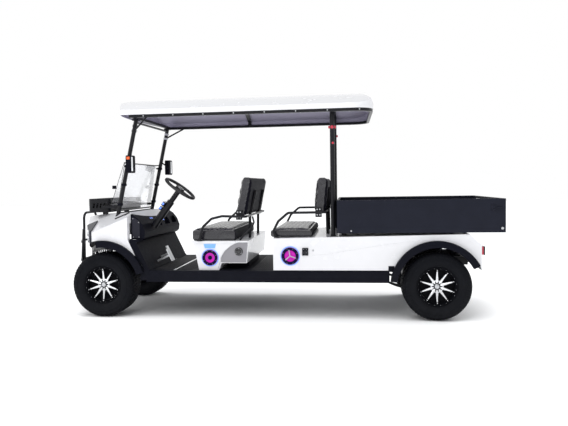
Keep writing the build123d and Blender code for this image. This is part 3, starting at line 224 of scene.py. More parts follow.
# ---------------------------------------------------------------- mesh helpers
def make_piece(name, form, finishes, slot, body="root", replaced=(), angle=34):
    """Turns a bmesh or a mesh into a piece that rides on a body, smooth but for edges sharper than angle."""
    if isinstance(form, bmesh.types.BMesh):
        bmesh.ops.recalc_face_normals(form, faces=form.faces)
        mesh = bpy.data.meshes.new(name)
        form.to_mesh(mesh)
        form.free()
    else:
        mesh = form
    for look in finishes:
        mesh.materials.append(FINISH[look])
    mesh.shade_smooth()
    mesh.set_sharp_from_angle(angle=math.radians(angle))
    made = bpy.data.objects.new(name, mesh)
    bpy.context.scene.collection.objects.link(made)
    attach(made, body)
    if replaced:
        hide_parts(*replaced)
    return made


def piece(name, *finishes_slot_body):
    """Makes a piece, at once, of what the decorated function draws on a bmesh."""
    def build(draw):
        bm = bmesh.new()
        draw(bm)
        return make_piece(name, bm, *finishes_slot_body)
    return build


def paired_piece(*given):
    """The same, of what the function draws on each side of the cart."""
    return lambda draw: piece(*given)(lambda bm: [draw(bm, side) for side in SIDES])


def skin(bm, near, far, material=0):
    """The faces between two rings of as many points."""
    next_near, next_far = near[1:] + near[:1], far[1:] + far[:1]
    faces = [bm.faces.new(corners) for corners in zip(near, next_near, next_far, far)]
    for face in faces:
        face.material_index = material
    return faces


def clock(degrees, radius):
    """A step of radius in the cart's side view, turned from +X towards +Z."""
    turn = math.radians(degrees)
    return Vector((math.cos(turn) * radius, 0, math.sin(turn) * radius))


def square_to(axis):
    """An axis as a unit vector, with two directions square to it and to each other."""
    axis = Vector(axis).normalized()
    across = axis.orthogonal().normalized()
    return axis, across, axis.cross(across)


def round_the_clock(across, up, count):
    """As many directions as count, evenly round the plane of across and up."""
    angles = (2 * math.pi * step / count for step in range(count))
    return [across * math.cos(angle) + up * math.sin(angle) for angle in angles]


def add_capped(bm, rings, material=0):
    """Skins rings of sections from end to end and closes both ends."""
    for near, far in zip(rings, rings[1:]):
        skin(bm, near, far, material)
    for end in (rings[0], rings[-1]):
        bm.faces.new(end).material_index = material


def add_turned(bm, rings, material=0):
    """Skins rings of closed sections all the way round."""
    for near, far in zip(rings, rings[1:] + rings[:1]):
        skin(bm, near, far, material)


def add_lathe(bm, centre, side, profile, steps, material=0):
    """Turns a closed profile of (distance outwards, radius) about the wheel axis through centre."""
    angles = (2 * math.pi * step / steps for step in range(steps))
    add_turned(bm, [[bm.verts.new(wheel_point(centre, side, radius, angle, out)) for out, radius in profile]
                    for angle in angles], material)


def add_ring(bm, centre, axis, profile, steps=48, material=0):
    """Turns a closed profile of (distance along the axis, radius) about an axis through centre."""
    axis, across, up = square_to(axis)
    add_turned(bm, [[bm.verts.new(centre + axis * rise + spoke * radius) for rise, radius in profile]
                    for spoke in round_the_clock(across, up, steps)], material)


def add_sleeve(bm, centre, axis, low, high, outer, inner, steps, material=0, taper=0.0):
    """A ring of square section from low to high along its axis, its outer edge drawn in by taper."""
    profile = ((low, outer), (high, outer - taper), (high, inner), (low, inner))
    add_ring(bm, centre, axis, profile, steps, material)


def add_hull(bm, corners, material=0):
    """A six-faced solid on eight corners: four of the one end, then four of the other."""
    v = [bm.verts.new(corner) for corner in corners]
    for quad in ((0, 1, 2, 3), (7, 6, 5, 4), (0, 4, 5, 1), (1, 5, 6, 2), (2, 6, 7, 3), (3, 7, 4, 0)):
        bm.faces.new([v[i] for i in quad]).material_index = material


def add_box(bm, low, high, round_by, material=0):
    """A box between two corners with its edges rounded."""
    made = bmesh.ops.create_cube(bm, size=1)["verts"]
    low, high = Vector(low), Vector(high)
    for vert in made:
        vert.co = Vector([low[i] + (high[i] - low[i]) * (vert.co[i] + 0.5) for i in range(3)])
    for face in {face for vert in made for face in vert.link_faces}:
        face.material_index = material
    edges = list(dict.fromkeys(edge for vert in made for edge in vert.link_edges))
    bmesh.ops.bevel(bm, geom=edges, offset=round_by, segments=2, affect="EDGES", profile=0.5,
                    material=material)


def add_side_box(bm, side, x_span, y_span, z_span, round_by, material=0):
    """A rounded box on one side: spans from the front axle, the middle plane and the ground."""
    low_y, high_y = sorted(side * y for y in y_span)
    add_box(bm, at(x_span[0], low_y, z_span[0]), at(x_span[1], high_y, z_span[1]), round_by, material)


def add_tube(bm, points, radius, sides=10, material=0):
    """A round bar through points."""
    rings = []
    across = None
    for index, point in enumerate(points):
        before = points[max(index - 1, 0)]
        after = points[min(index + 1, len(points) - 1)]
        along = (after - before).normalized()
        if across is None:
            across = along.orthogonal().normalized()
        across = (across - along * across.dot(along)).normalized()
        spokes = round_the_clock(across, along.cross(across), sides)
        rings.append([bm.verts.new(point + spoke * radius) for spoke in spokes])
    add_capped(bm, rings, material)


BOLT_LEVELS = ((0, 1), (0.75, 1), (1, 0.82))
DOME_LEVELS = ((0, 1), (0.35, 0.97), (0.7, 0.78), (0.92, 0.45))


def add_knob(bm, centre, axis, radius, height, sides=6, dome=False, material=0):
    """A bolt head or a domed button that stands on centre along axis; its levels are shares of both sizes."""
    axis, across, up = square_to(axis)
    spokes = round_the_clock(across, up, sides)
    rings = [[bm.verts.new(centre + axis * (height * rise) + spoke * radius * part) for spoke in spokes]
             for rise, part in (DOME_LEVELS if dome else BOLT_LEVELS)]
    add_capped(bm, rings, material)


def add_side_knobs(bm, side, y, spots, radius, height, sides, dome=False, material=0):
    """Heads that face outwards on one side, at spots of (x from the front axle, z)."""
    for x, z in spots:
        add_knob(bm, at(x, side * y, z), (0, side, 0), radius, height, sides, dome, material)


def add_band(bm, rows, depth, way, material=0):
    """A strip through rows of (left, right) points, depth thick along way."""
    way = Vector(way).normalized() * depth
    add_capped(bm, [[bm.verts.new(p) for p in (left, right, right - way, left - way)]
                    for left, right in rows], material)


def add_plate(bm, outline, y_from, y_to):
    """A flat plate between two places across the cart, with an outline of (x from the front axle, z)."""
    add_capped(bm, [[bm.verts.new(at(x, y, z)) for x, z in outline] for y in (y_from, y_to)])


def surface(name, start, way):
    """Where a straight line meets a carried-over solid, and which way the surface faces there."""
    carried = node(name)
    back = carried.matrix_world.inverted()
    begin = back @ Vector(start)
    end = back @ (Vector(start) + Vector(way))
    hit, place, facing, _ = carried.ray_cast(begin, (end - begin).normalized())
    if not hit:
        raise ValueError(f"nothing of {name} lies that way")
    return carried.matrix_world @ place, (carried.matrix_world.to_3x3() @ facing).normalized()


# ---------------------------------------------------------------- wheels
TREAD_PITCHES = 64
TREAD_BLOCK = 0.74
TREAD_TRIM = 0.0012
TREAD_FLOOR_R = 0.2825
TREAD_ROOT = 0.004
TREAD_ROWS = (
    # from, to across the tread, slant and start in parts of a pitch, radius at from and at to
    (-0.117, -0.092, 0.1, 0.5, 0.2765, 0.2895),
    (-0.087, -0.054, 0.25, 0.0, 0.2905, 0.2918),
    (-0.048, -0.018, 0.3, 0.4, 0.2918, 0.2919),
    (-0.013, 0.013, 0.0, 0.8, 0.2919, 0.2919),
    (0.018, 0.048, -0.3, 0.4, 0.2919, 0.2918),
    (0.054, 0.087, -0.25, 0.0, 0.2918, 0.2905),
    (0.092, 0.117, -0.1, 0.5, 0.2895, 0.2765),
)
TYRE_FLANK = (
    # distance from the middle plane, radius: tread base, shoulder, sidewall with its rib, bead
    (0.086, 0.2835), (0.104, 0.279), (0.117, 0.2695), (0.1255, 0.256), (0.13, 0.241),
    (0.1306, 0.237), (0.1328, 0.2355), (0.1328, 0.2315), (0.1312, 0.23), (0.132, 0.214),
    (0.1296, 0.196), (0.123, 0.18), (0.114, 0.172), (0.1075, 0.169), (0.1065, 0.1572),
)
SHOULDER_LUGS = TREAD_PITCHES // 2
LUG_WIDTH = 0.8
LUG_OUT = (0.124, 0.1326)
LUG_FOOT_R, LUG_HEAD_R = 0.24, 0.26
LUG_LEAN = 0.004
# The rim's lines are of (out along the axle, radius), each closed.
RIM_PROFILE = (
    # bright lip, well, back lip, hidden face
    (0.1128, 0.1655), (0.1132, 0.16), (0.1085, 0.156), (0.0985, 0.1535), (0.09, 0.147),
    (0.03, 0.138), (-0.07, 0.138), (-0.095, 0.148), (-0.112, 0.154), (-0.113, 0.165),
    (-0.108, 0.1655), (-0.1068, 0.1552), (0.1068, 0.1552), (0.108, 0.1655),
)
HUB_PROFILE = ((0.072, 0.0005), (0.072, 0.041), (0.066, 0.048), (0.04, 0.05), (0.04, 0.018),
               (0.068, 0.018), (0.068, 0.0005))
WEB_PROFILE = ((0.056, 0.018), (0.056, 0.1395), (0.05, 0.1395), (0.05, 0.018))
COLLAR_PROFILE = ((0.0875, 0.0455), (0.088, 0.049), (0.086, 0.053), (0.07, 0.0535), (0.07, 0.0455))
CAP_PROFILE = ((0.094, 0.0005), (0.093, 0.013), (0.089, 0.0195), (0.078, 0.0215), (0.0705, 0.0215),
               (0.0705, 0.0005))
SPOKES = 10
BRIGHT_SPAN = 4
SPOKE_SHOULDER = 0.002
SPOKE_FLAT = 0.62
SPOKE_STATIONS = (
    # radius, face out along the axle, half width, depth
    (0.03, 0.084, 0.0062, 0.03),
    (0.046, 0.0865, 0.0098, 0.03),
    (0.066, 0.09, 0.009, 0.029),
    (0.1, 0.0955, 0.0066, 0.027),
    (0.131, 0.1005, 0.0052, 0.024),
    (0.1495, 0.1035, 0.0048, 0.022),
)
BLACK, BRIGHT, ZINC = range(3)
RIM_STUDS = (
    # how many, turned by parts of a step, radius, out, then the head's radius, height, sides, dome and finish
    (5, 0.5, 0.0325, 0.0715, 0.0062, 0.0085, 6, False, ZINC),
    (SPOKES, 0, 0.1425, 0.1015, 0.0052, 0.0045, 12, True, BRIGHT),
    (2 * SPOKES, 0.5, 0.1578, 0.1085, 0.0026, 0.0032, 8, True, ZINC),
)
STEM_RADIUS = 0.003


def wheel_point(centre, side, radius, angle, out, across=0.0):
    """A point of a wheel: radius and angle round the axle, out along it, across the spoke."""
    return centre + Vector((radius * math.cos(angle) - across * math.sin(angle), side * out,
                            radius * math.sin(angle) + across * math.cos(angle)))


def make_tyre(corner, centre, side):
    """A tyre with seven rows of tread blocks and lugs on both shoulders."""
    bm = bmesh.new()
    profile = TYRE_FLANK + tuple((-out, radius) for out, radius in reversed(TYRE_FLANK))
    add_lathe(bm, centre, side, profile, 96)
    pitch = 2 * math.pi / TREAD_PITCHES
    for start_y, end_y, slant, start, start_r, end_r in TREAD_ROWS:
        for step in range(TREAD_PITCHES):
            corners = []
            for lift in (0, 1):
                for out, radius, turn, way in ((start_y, start_r, 0, 1), (end_y, end_r, slant, -1)):
                    trim = TREAD_TRIM * lift / radius
                    reach = radius if lift else min(radius, TREAD_FLOOR_R) - TREAD_ROOT
                    first = (step + start + turn) * pitch + trim
                    last = first + TREAD_BLOCK * pitch - 2 * trim
                    ends = (first, last)[::way]
                    corners += [wheel_point(centre, side, reach, angle, out) for angle in ends]
            add_hull(bm, corners)
    for way in SIDES:
        for step in range(SHOULDER_LUGS):
            first = (step + 0.25) * 2 * pitch
            last = first + LUG_WIDTH * pitch
            corners = []
            for out in LUG_OUT:
                for radius, lean, ends in ((LUG_FOOT_R, 0, (first, last)),
                                           (LUG_HEAD_R, LUG_LEAN, (last, first))):
                    corners += [wheel_point(centre, side, radius, angle, way * (out - lean))
                                for angle in ends]
            add_hull(bm, corners)
    make_piece(f"tyre_{corner}_treaded", bm, ["tyre_rubber"], "tyre_rubber", f"wheel_{corner}",
               [f"tyre_{corner}"], 30)


def make_rim(corner, centre, side):
    """A ten-spoke rim: barrel, tapered spokes, bored hub with its cap, black web, nuts, studs and valve."""
    bm = bmesh.new()
    add_lathe(bm, centre, side, RIM_PROFILE, 80)
    for index in range(SPOKES):
        angle = math.pi / 2 + 2 * math.pi * index / SPOKES
        rows = []
        for radius, face, half, depth in SPOKE_STATIONS:
            flat, edge = half * SPOKE_FLAT, face - SPOKE_SHOULDER
            section = ((face - depth, -half), (edge, -half), (face, -flat), (face, flat), (edge, half),
                       (face - depth, half))
            rows.append([bm.verts.new(wheel_point(centre, side, radius, angle, out, across))
                         for out, across in section])
        for span, (near, far) in enumerate(zip(rows, rows[1:])):
            faces = skin(bm, near, far)
            for face in faces[1:4] if span < BRIGHT_SPAN else ():
                face.material_index = BRIGHT
        bm.faces.new(rows[0])
        bm.faces.new(rows[-1])
    for profile, steps, material in ((HUB_PROFILE, 48, BLACK), (WEB_PROFILE, 60, BLACK),
                                     (COLLAR_PROFILE, 60, BRIGHT), (CAP_PROFILE, 40, ZINC)):
        add_lathe(bm, centre, side, profile, steps, material)
    for count, turn, radius, out, size, height, sides, dome, material in RIM_STUDS:
        for index in range(count):
            spot = wheel_point(centre, side, radius, math.pi / 2 + 2 * math.pi * (index + turn) / count, out)
            add_knob(bm, spot, (0, side, 0), size, height, sides, dome, material)
    stem = wheel_point(centre, side, 0.146, math.radians(200), 0.092)
    add_tube(bm, [stem, stem + Vector((0, side * 0.014, 0)), stem + Vector((0.004, side * 0.022, 0))],
             STEM_RADIUS, 8)
    make_piece(f"rim_{corner}_spoked", bm, ["satin_black", "machined_alloy", "zinc"], "machined_alloy",
               f"wheel_{corner}", [f"rim_{corner}"], 28)


for corner in CORNERS:
    centre = Vector(JOINTS[f"roll_{corner}"]["pos_m"])
    side = -1 if corner.endswith("left") else 1
    low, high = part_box(f"tyre_{corner}")
    centre.y = (low.y + high.y) / 2
    make_tyre(corner, centre, side)
    make_rim(corner, centre, side)


# ---------------------------------------------------------------- padded seats
PADS = (
    # node, direction out of the quilted face, direction up or forward along it, swell limit
    ("front_seat_cushion", (0, 0, 1), (-1, 0, 0), 0.015),
    ("rear_seat_cushion", (0, 0, 1), (-1, 0, 0), 0.014),
    ("front_seat_back", (-0.976, 0, 0.218), (0.218, 0, 0.976), 0.015),
    ("rear_seat_back", (-0.993, 0, 0.119), (0.119, 0, 0.993), 0.014),
)
SIM_FRAMES = 20
CLOTH = dict(quality=4, mass=0.3, tension_stiffness=20, compression_stiffness=20, shear_stiffness=8,
             bending_stiffness=1.5, use_pressure=True, uniform_pressure_force=4)
VOXEL = 0.0085
ROOM_TO_SWELL = (0.011, 0.012, 0.008)
CUSHION_DROP = 0.0075
CUSHION_CLEARANCE = 0.0006
DIAMOND = 0.088
TUFT_DEPTH = 0.0085
TUFT_MEAN = 0.75
CROWN = 0.01
SEAM_IN, SEAM_SOFTNESS, SEAM_WIDTH, SEAM_DEPTH = 0.03, 0.012, 0.0045, 0.0045
BEAD_IN, BEAD_WIDTH, BEAD_HEIGHT = 0.008, 0.004, 0.0022
GATHER_PITCH, GATHER_HEIGHT = 0.045, 0.0012
FACE_FROM = 0.35
BORDER_UP_TO = 0.3
SHELL_FACES_BACK = 0.45


def evaluated_mesh(holder):
    """The holder's mesh with its modifiers applied."""
    graph = bpy.context.evaluated_depsgraph_get()
    return bpy.data.meshes.new_from_object(holder.evaluated_get(graph), depsgraph=graph)


def vertex_rows(mesh, key):
    """The places ("co") or normals ("normal") of a mesh's vertices, a row each."""
    flat = np.empty(len(mesh.vertices) * 3)
    mesh.vertices.foreach_get(key, flat)
    return flat.reshape(-1, 3)


def swell(mesh, limit):
    """Blows a closed pad up with air pressure and holds every point within limit of where it was."""
    holder = bpy.data.objects.new("swelling_pad", mesh)
    bpy.context.scene.collection.objects.link(holder)
    rest = vertex_rows(mesh, "co")
    cloth = holder.modifiers.new("air", "CLOTH")
    for key, value in CLOTH.items():
        setattr(cloth.settings, key, value)
    cloth.settings.effector_weights.gravity = 0
    cloth.collision_settings.use_collision = False
    cloth.point_cache.frame_start = 1
    cloth.point_cache.frame_end = SIM_FRAMES
    for step in range(1, SIM_FRAMES + 1):
        bpy.context.scene.frame_set(step)
    blown = evaluated_mesh(holder)
    moved = vertex_rows(blown, "co") - rest
    bpy.data.meshes.remove(blown)
    bpy.context.scene.frame_set(1)
    holder.modifiers.clear()
    length = np.linalg.norm(moved, axis=1, keepdims=True)
    moved *= np.minimum(1, limit / np.maximum(length, 1e-9))
    mesh.vertices.foreach_set("co", (rest + moved).ravel())
    mesh.update()
    holder.modifiers.new("finer", "SUBSURF").levels = 1
    finer = evaluated_mesh(holder)
    bpy.data.objects.remove(holder)
    return finer


def even_pad(name, lies_flat):
    """An evenly meshed copy of a CAD pad, a little smaller so that it has room to swell."""
    low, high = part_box(name)
    middle, half = np.array((low + high) / 2), np.array((high - low) / 2)
    holder = bpy.data.objects.new("pad_source", node(name).data.copy())
    bpy.context.scene.collection.objects.link(holder)
    shrunk = middle + (vertex_rows(holder.data, "co") - middle) * (1 - np.array(ROOM_TO_SWELL) / half)
    if lies_flat:
        shrunk[:, 2] -= CUSHION_DROP
    holder.data.vertices.foreach_set("co", shrunk.ravel())
    voxels = holder.modifiers.new("even", "REMESH")
    voxels.mode = "VOXEL"
    voxels.voxel_size = VOXEL
    even = evaluated_mesh(holder)
    bpy.data.objects.remove(holder)
    return even, middle


def quilt_rise(offset, facing, out_way, up_way):
    """How far the sewing lifts each point: tufts and crown, sewn seam, edge bead and gathered border."""
    across, along = offset[:, 1], offset @ up_way
    outwards = facing @ out_way
    reach_u, reach_v = np.abs(across).max(), np.abs(along).max()
    inside = np.minimum(reach_u - np.abs(across), reach_v - np.abs(along))
    face = np.clip((outwards - FACE_FROM) / FACE_FROM, 0, 1)
    quilted = face * np.clip((inside - SEAM_IN) / SEAM_SOFTNESS, 0, 1)
    wave = np.sin(math.pi * (across + along) / DIAMOND) * np.sin(math.pi * (across - along) / DIAMOND)
    crown = (1 - (across / reach_u) ** 4) * (1 - (along / reach_v) ** 2)
    rise = quilted * TUFT_DEPTH * (np.sqrt(np.abs(wave)) - TUFT_MEAN) + face * CROWN * crown
    rise -= SEAM_DEPTH * face * np.exp(-((inside - SEAM_IN) / SEAM_WIDTH) ** 2)
    rise += (BEAD_HEIGHT * np.exp(-((inside - BEAD_IN) / BEAD_WIDTH) ** 2)
             * np.clip(outwards / BORDER_UP_TO, 0, 1))
    border = np.clip(1 - np.abs(outwards) / BORDER_UP_TO, 0, 1)
    return rise + GATHER_HEIGHT * border * np.sin(across * 2 * math.pi / GATHER_PITCH)


def make_pad(name, out_way, up_way, limit):
    """A quilted vinyl pad with a plain shell where it faces the rear."""
    lies_flat = out_way[2] > 0.9
    even, middle = even_pad(name, lies_flat)
    padded = swell(even, limit)
    points, facing = vertex_rows(padded, "co"), vertex_rows(padded, "normal")
    points += facing * quilt_rise(points - middle, facing, np.array(out_way), np.array(up_way))[:, None]
    if lies_flat:
        points[:, 2] = np.maximum(points[:, 2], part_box(name)[0].z + CUSHION_CLEARANCE)
    padded.vertices.foreach_set("co", points.ravel())
    padded.update()
    padded.materials.clear()
    pad = make_piece(f"{name}_quilted", padded, ["seat_vinyl", "shell_vinyl"], "seat_vinyl",
                     replaced=[name], angle=60)
    for face in pad.data.polygons:
        face.material_index = int(face.normal.x > SHELL_FACES_BACK)


for pad_row in PADS:
    make_pad(*pad_row)


# ---------------------------------------------------------------- speakers and lamps
SPEAKERS = (
    # name, x, z, radius, face across the cart
    ("front", 0.991, 0.536, 0.07, 0.56),
    ("rear", 1.715, 0.556, 0.076, 0.605),
)
# Lines of (out of the face, past the speaker's radius), then the cone's of (out of the face, radius).
HALO_LINE = ((0.0004, 0.0095), (0.0035, 0.008), (0.0045, 0.001), (0.0004, 0.001))
BEZEL_LINE = ((0.0112, 0), (0.0135, -0.003), (0.0135, -0.022), (0.009, -0.0265), (0.0112, -0.01))
CONE_LINE = ((0.0042, 0.05), (0.0085, 0.046), (0.006, 0.041), (0.005, 0.036), (0.0062, 0.03),
             (0.0048, 0.024), (0.0042, 0.024))
# A glowing patch above the front speaker, of (across, up) and its depth out of the face: painted light, the
# halo's glow as it falls on the pod.
HALO_LIGHT_SPILL = ((-0.046, 0.084), (0.046, 0.084), (0.054, 0.122), (-0.058, 0.122))
HALO_LIGHT_SPILL_OUT = (0.0004, 0.003)
BEZEL_SCREWS = 8


def make_speaker(name, x, z, radius, face_y):
    """Speaker trim: a lit halo, a dark bezel with screws, a ribbed cone with a painted glow and its centre
    cap; above the front speaker, a patch of painted light from the halo on the pod.
    """
    bezel_part, halo_part, cone_part, zinc_part, pale_part = range(5)
    bm = bmesh.new()
    for side in SIDES:
        axis = Vector((0, side, 0))
        centre = at(x, side * face_y, z)
        for line, material in ((HALO_LINE, halo_part), (BEZEL_LINE, bezel_part)):
            add_ring(bm, centre, axis, [(rise, radius + past) for rise, past in line], 64, material)
        for index in range(BEZEL_SCREWS):
            spot = centre + clock(360 * (index + 0.5) / BEZEL_SCREWS, radius - 0.009) + axis * 0.0133
            add_knob(bm, spot, axis, 0.0026, 0.0016, material=zinc_part)
        # The cone's finish glows: painted light.
        add_ring(bm, centre, axis, CONE_LINE, 48, cone_part)
        add_knob(bm, centre + axis * CONE_LINE[0][0], axis, 0.019, 0.009, 32, True,
                 bezel_part if name == "front" else cone_part)
        # Painted light: on the front speaker, a glowing halo-blue patch stands for the halo's light falling
        # on the pod above it.
        if name == "front":
            add_hull(bm, [centre + axis * rise + Vector((shift, 0, lift)) for rise in HALO_LIGHT_SPILL_OUT
                          for shift, lift in HALO_LIGHT_SPILL], halo_part)
        else:
            for degrees in (100, 220, 340):
                tip = centre + clock(degrees, 0.055) + axis * 0.01
                add_tube(bm, [centre + axis * 0.011, tip], 0.0045, 8, pale_part)
    make_piece(f"{name}_speaker_trim", bm,
               ["navy_bezel", "halo_blue", "speaker_cone", "zinc", "pale_trim"], "speaker_cone")


for speaker_row in SPEAKERS:
    make_speaker(*speaker_row)


@paired_piece("headlight_inserts", ["mirror_glass", "lamp_lens", "pale_trim"], "lamp_lens")
def headlight_inserts(bm, side):
    """Two round reflectors and two upright light strips in each headlight."""
    ahead, lens_y, lens_radius = -0.6, 0.5, 0.024
    strip_half, strip_foot_z, strip_step, strip_rise = 0.0035, 0.684, 0.0095, 0.0022
    for z in (0.71, 0.768):
        spot, facing = surface("headlights", at(ahead, side * lens_y, z), (1, 0, 0))
        rim = ((-0.001, 0), (0.0035, -0.001), (0.0035, -0.006), (0.0005, -0.008), (-0.001, -0.008))
        add_ring(bm, spot, facing, [(rise, lens_radius + past) for rise, past in rim], 40)
        add_knob(bm, spot - facing * 0.0004, facing, lens_radius - 0.009, 0.0045, 28, True, 1)
    for y in (0.452, 0.566):
        rows = []
        for step in range(11):
            z = strip_foot_z + strip_step * step
            left, _ = surface("headlights", at(ahead, side * (y - strip_half), z), (1, 0, 0))
            right, facing = surface("headlights", at(ahead, side * (y + strip_half), z), (1, 0, 0))
            rows.append((left + facing * strip_rise, right + facing * strip_rise))
        add_band(bm, rows, 0.003, facing, 2)


@paired_piece("tail_light_frames", ["gloss_black", "red_lens", "pale_trim"], "red_lens")
def tail_light_frames(bm, side):
    """A black frame, red ribs and a pale reflector on each tail light."""
    y_span, z_span, edge, ribs = (0.44, 0.53), (0.5575, 0.6225), 0.004, 9
    back_x = at(3.368, 0, 0).x
    from_x, to_x = back_x - 0.01, back_x + 0.002
    low_y, high_y = sorted(side * y for y in y_span)
    for z in z_span:
        add_box(bm, (from_x, low_y - edge, z - edge), (to_x, high_y + edge, z + edge), 0.0015)
    for y in (low_y, high_y):
        add_box(bm, (from_x, y - edge, z_span[0]), (to_x, y + edge, z_span[1]), 0.0015)
    for index in range(ribs):
        y = low_y + 0.01 + 0.00875 * index
        add_tube(bm, [Vector((back_x, y, 0.563)), Vector((back_x, y, 0.617))], 0.0024, 8, 1)
    add_knob(bm, Vector((back_x, (low_y + high_y) / 2, 0.59)), (1, 0, 0), 0.017, 0.006, 24, True, 2)


@paired_piece("post_markers", ["red_lens", "gloss_black"], "red_lens")
def post_markers(bm, side):
    """Red marker lamps on the rear posts."""
    face_y = 0.518
    for x, z, radius in ((2.088, 1.672, 0.015), (2.094, 1.534, 0.011)):
        spot = at(x, side * face_y, z)
        add_knob(bm, spot, (0, side, 0), radius, 0.008, 20, True)
        add_sleeve(bm, spot, (0, side, 0), -0.001, 0.004, radius + 0.004, radius, 28, 1, taper=0.001)
    for x in (2.063, 2.113):
        add_side_box(bm, side, (x - 0.008, x + 0.008), (0.49, 0.51), (1.66, 1.684), 0.004)


@paired_piece("mirror_faces", ["mirror_glass", "amber", "black_plastic"], "black_plastic")
def mirror_faces(bm, side):
    """The mirrors' glass in a raised frame, and the amber repeater on each housing."""
    middle_z, tall, half, frame_half, repeater_z = 1.385, 0.064, 0.0245, 0.003, 1.437
    glass, _ = surface("mirrors", at(0.6, side * 0.585, middle_z), (-1, 0, 0))
    spot, _ = surface("mirrors", at(0.275, side * 0.9, repeater_z), (0, -side, 0))
    add_box(bm, (spot.x - 0.014, spot.y - 0.003, repeater_z - 0.012),
            (spot.x + 0.014, spot.y + 0.003, repeater_z + 0.012), 0.002, 1)
    sunk, proud = glass.x - 0.0008, glass.x + 0.003
    low_y, high_y, low_z, high_z = glass.y - half, glass.y + half, middle_z - tall, middle_z + tall
    add_box(bm, (sunk, low_y, low_z), (glass.x + 0.0015, high_y, high_z), 0.0006)
    for z in (low_z - frame_half, high_z + frame_half):
        add_box(bm, (sunk, low_y - 0.004, z - frame_half), (proud, high_y + 0.004, z + frame_half),
                0.001, 2)
    for y in (low_y - frame_half, high_y + frame_half):
        add_box(bm, (sunk, y - frame_half, low_z), (proud, y + frame_half, high_z), 0.001, 2)


# ---------------------------------------------------------------- dash and floor
FLOOR_Z = 0.4228


@piece("lit_controls", ["gloss_black", "led_blue"], "black_plastic")
def lit_controls(bm):
    """Lit buttons on the dash and on two switch pods of the steering column."""
    dash_x = 0.7
    for outer, inner, collar, height, steps, spots in (
        (0.017, 0.0125, 0.004, 0.006, 32, ((0.115, 0.866), (0.08, 0.846), (0.145, 0.846))),
        (0.014, 0.01, 0.003, 0.004, 28, ((-0.195, 0.876), (-0.235, 0.876))),
    ):
        for y, z in spots:
            spot, facing = surface("dashboard", at(dash_x, y, z), (-1, 0, 0))
            add_sleeve(bm, spot, facing, -0.001, collar, outer, inner, steps, taper=0.0005)
            add_knob(bm, spot, facing, inner, height, steps - 8, True, 1)
    over = STEERING_UP.cross(Vector((0, 1, 0)))
    for along, size in ((0.205, 1.0), (0.255, 0.8)):
        middle = STEERING_HUB - STEERING_UP * along + over * 0.034
        corners = []
        for lift, taper in ((-0.004, 1), (0.02, 0.86)):
            for y, step in ((-0.04, -0.022), (0.04, -0.022), (0.04, 0.022), (-0.04, 0.022)):
                corners.append(middle + over * lift - STEERING_UP * step * taper * size
                               + Vector((0, y * taper * size, 0)))
        add_hull(bm, corners)
        for y in (-0.02, 0.0, 0.02):
            for side in SIDES:
                spot = middle + over * 0.0195 - STEERING_UP * side * 0.009 + Vector((0, y * size, 0))
                add_knob(bm, spot, over, 0.0072, 0.003, 16, True, 1)
        for side in SIDES:
            spot = middle + over * 0.008 + Vector((0, side * 0.0375 * size, 0))
            add_knob(bm, spot, (0, side, 0), 0.011, 0.004, 16, True, 1)


@paired_piece("dash_end_caps", ["dash_grey", "zinc"], "black_plastic")
def dash_end_caps(bm, side):
    """A grey cap with four screws on each end of the dash."""
    end_y, thick = 0.55, 0.003
    outline = ((0.27, 0.712), (0.27, 0.908), (0.296, 0.894), (0.34, 0.864), (0.34, 0.712))
    screws = ((0.278, 0.89), (0.278, 0.722), (0.331, 0.722), (0.331, 0.856))
    add_plate(bm, outline, side * (end_y - 0.0003), side * (end_y + thick))
    add_side_knobs(bm, side, end_y + thick, screws, 0.004, 0.0015, 10, True, 1)


@piece("switch_rockers", ["gloss_black", "black_plastic", "pale_trim", "zinc"], "black_plastic")
def switch_rockers(bm):
    """The near side's panel of four rockers, and the key switch beside it."""
    black_part, rocker_part, pale_part, zinc_part = range(4)
    face_y, key_y = -0.617, -0.605
    add_box(bm, at(1.8225, face_y - 0.0016, 0.562), at(1.8715, face_y + 0.001, 0.624), 0.001)
    for x in (1.8345, 1.8595):
        for z, tilt in ((0.6085, 0.0035), (0.5785, 0.001)):
            front_y = face_y - 0.004 - tilt
            add_box(bm, at(x - 0.0095, front_y, z - 0.013), at(x + 0.0095, face_y, z + 0.013), 0.0016,
                    rocker_part)
            add_knob(bm, at(x, front_y, z + 0.006), (0, -1, 0), 0.0022, 0.001, 10, material=pale_part)
    lock = ((-0.001, 0.0095), (0.0026, 0.009), (0.0034, 0.006), (0.0014, 0.005), (-0.001, 0.005))
    add_ring(bm, at(1.916, key_y, 0.604), (0, -1, 0), lock, 28, zinc_part)
    add_box(bm, at(1.9125, key_y - 0.0018, 0.603), at(1.9195, key_y + 0.001, 0.605), 0.0004, black_part)


@piece("floor_mat", ["grip_rubber", "machined_alloy"], "grip_rubber")
def floor_mat(bm):
    """Ribbed rubber in three fields, with a screwed alloy strip behind the first."""
    pitch, rib, half, rib_round = 0.0185, 0.009, 0.535, 0.0009
    fields = ((0.47, 9), (0.69, 7), (1.36, 10))
    strip_z = FLOOR_Z + 0.003
    for field, (first_x, count) in enumerate(fields):
        for index in range(count):
            x = first_x + pitch * index
            add_box(bm, at(x, -half, FLOOR_Z), at(x + rib, half, FLOOR_Z + 0.0028), rib_round)
        if field == 0:
            add_box(bm, at(0.647, -0.545, FLOOR_Z), at(0.667, 0.545, strip_z), 0.001, 1)
            for index in range(9):
                spot = at(0.657, -0.52 + 0.13 * index, strip_z)
                add_knob(bm, spot, (0, 0, 1), 0.0035, 0.0012, 12, True, 1)


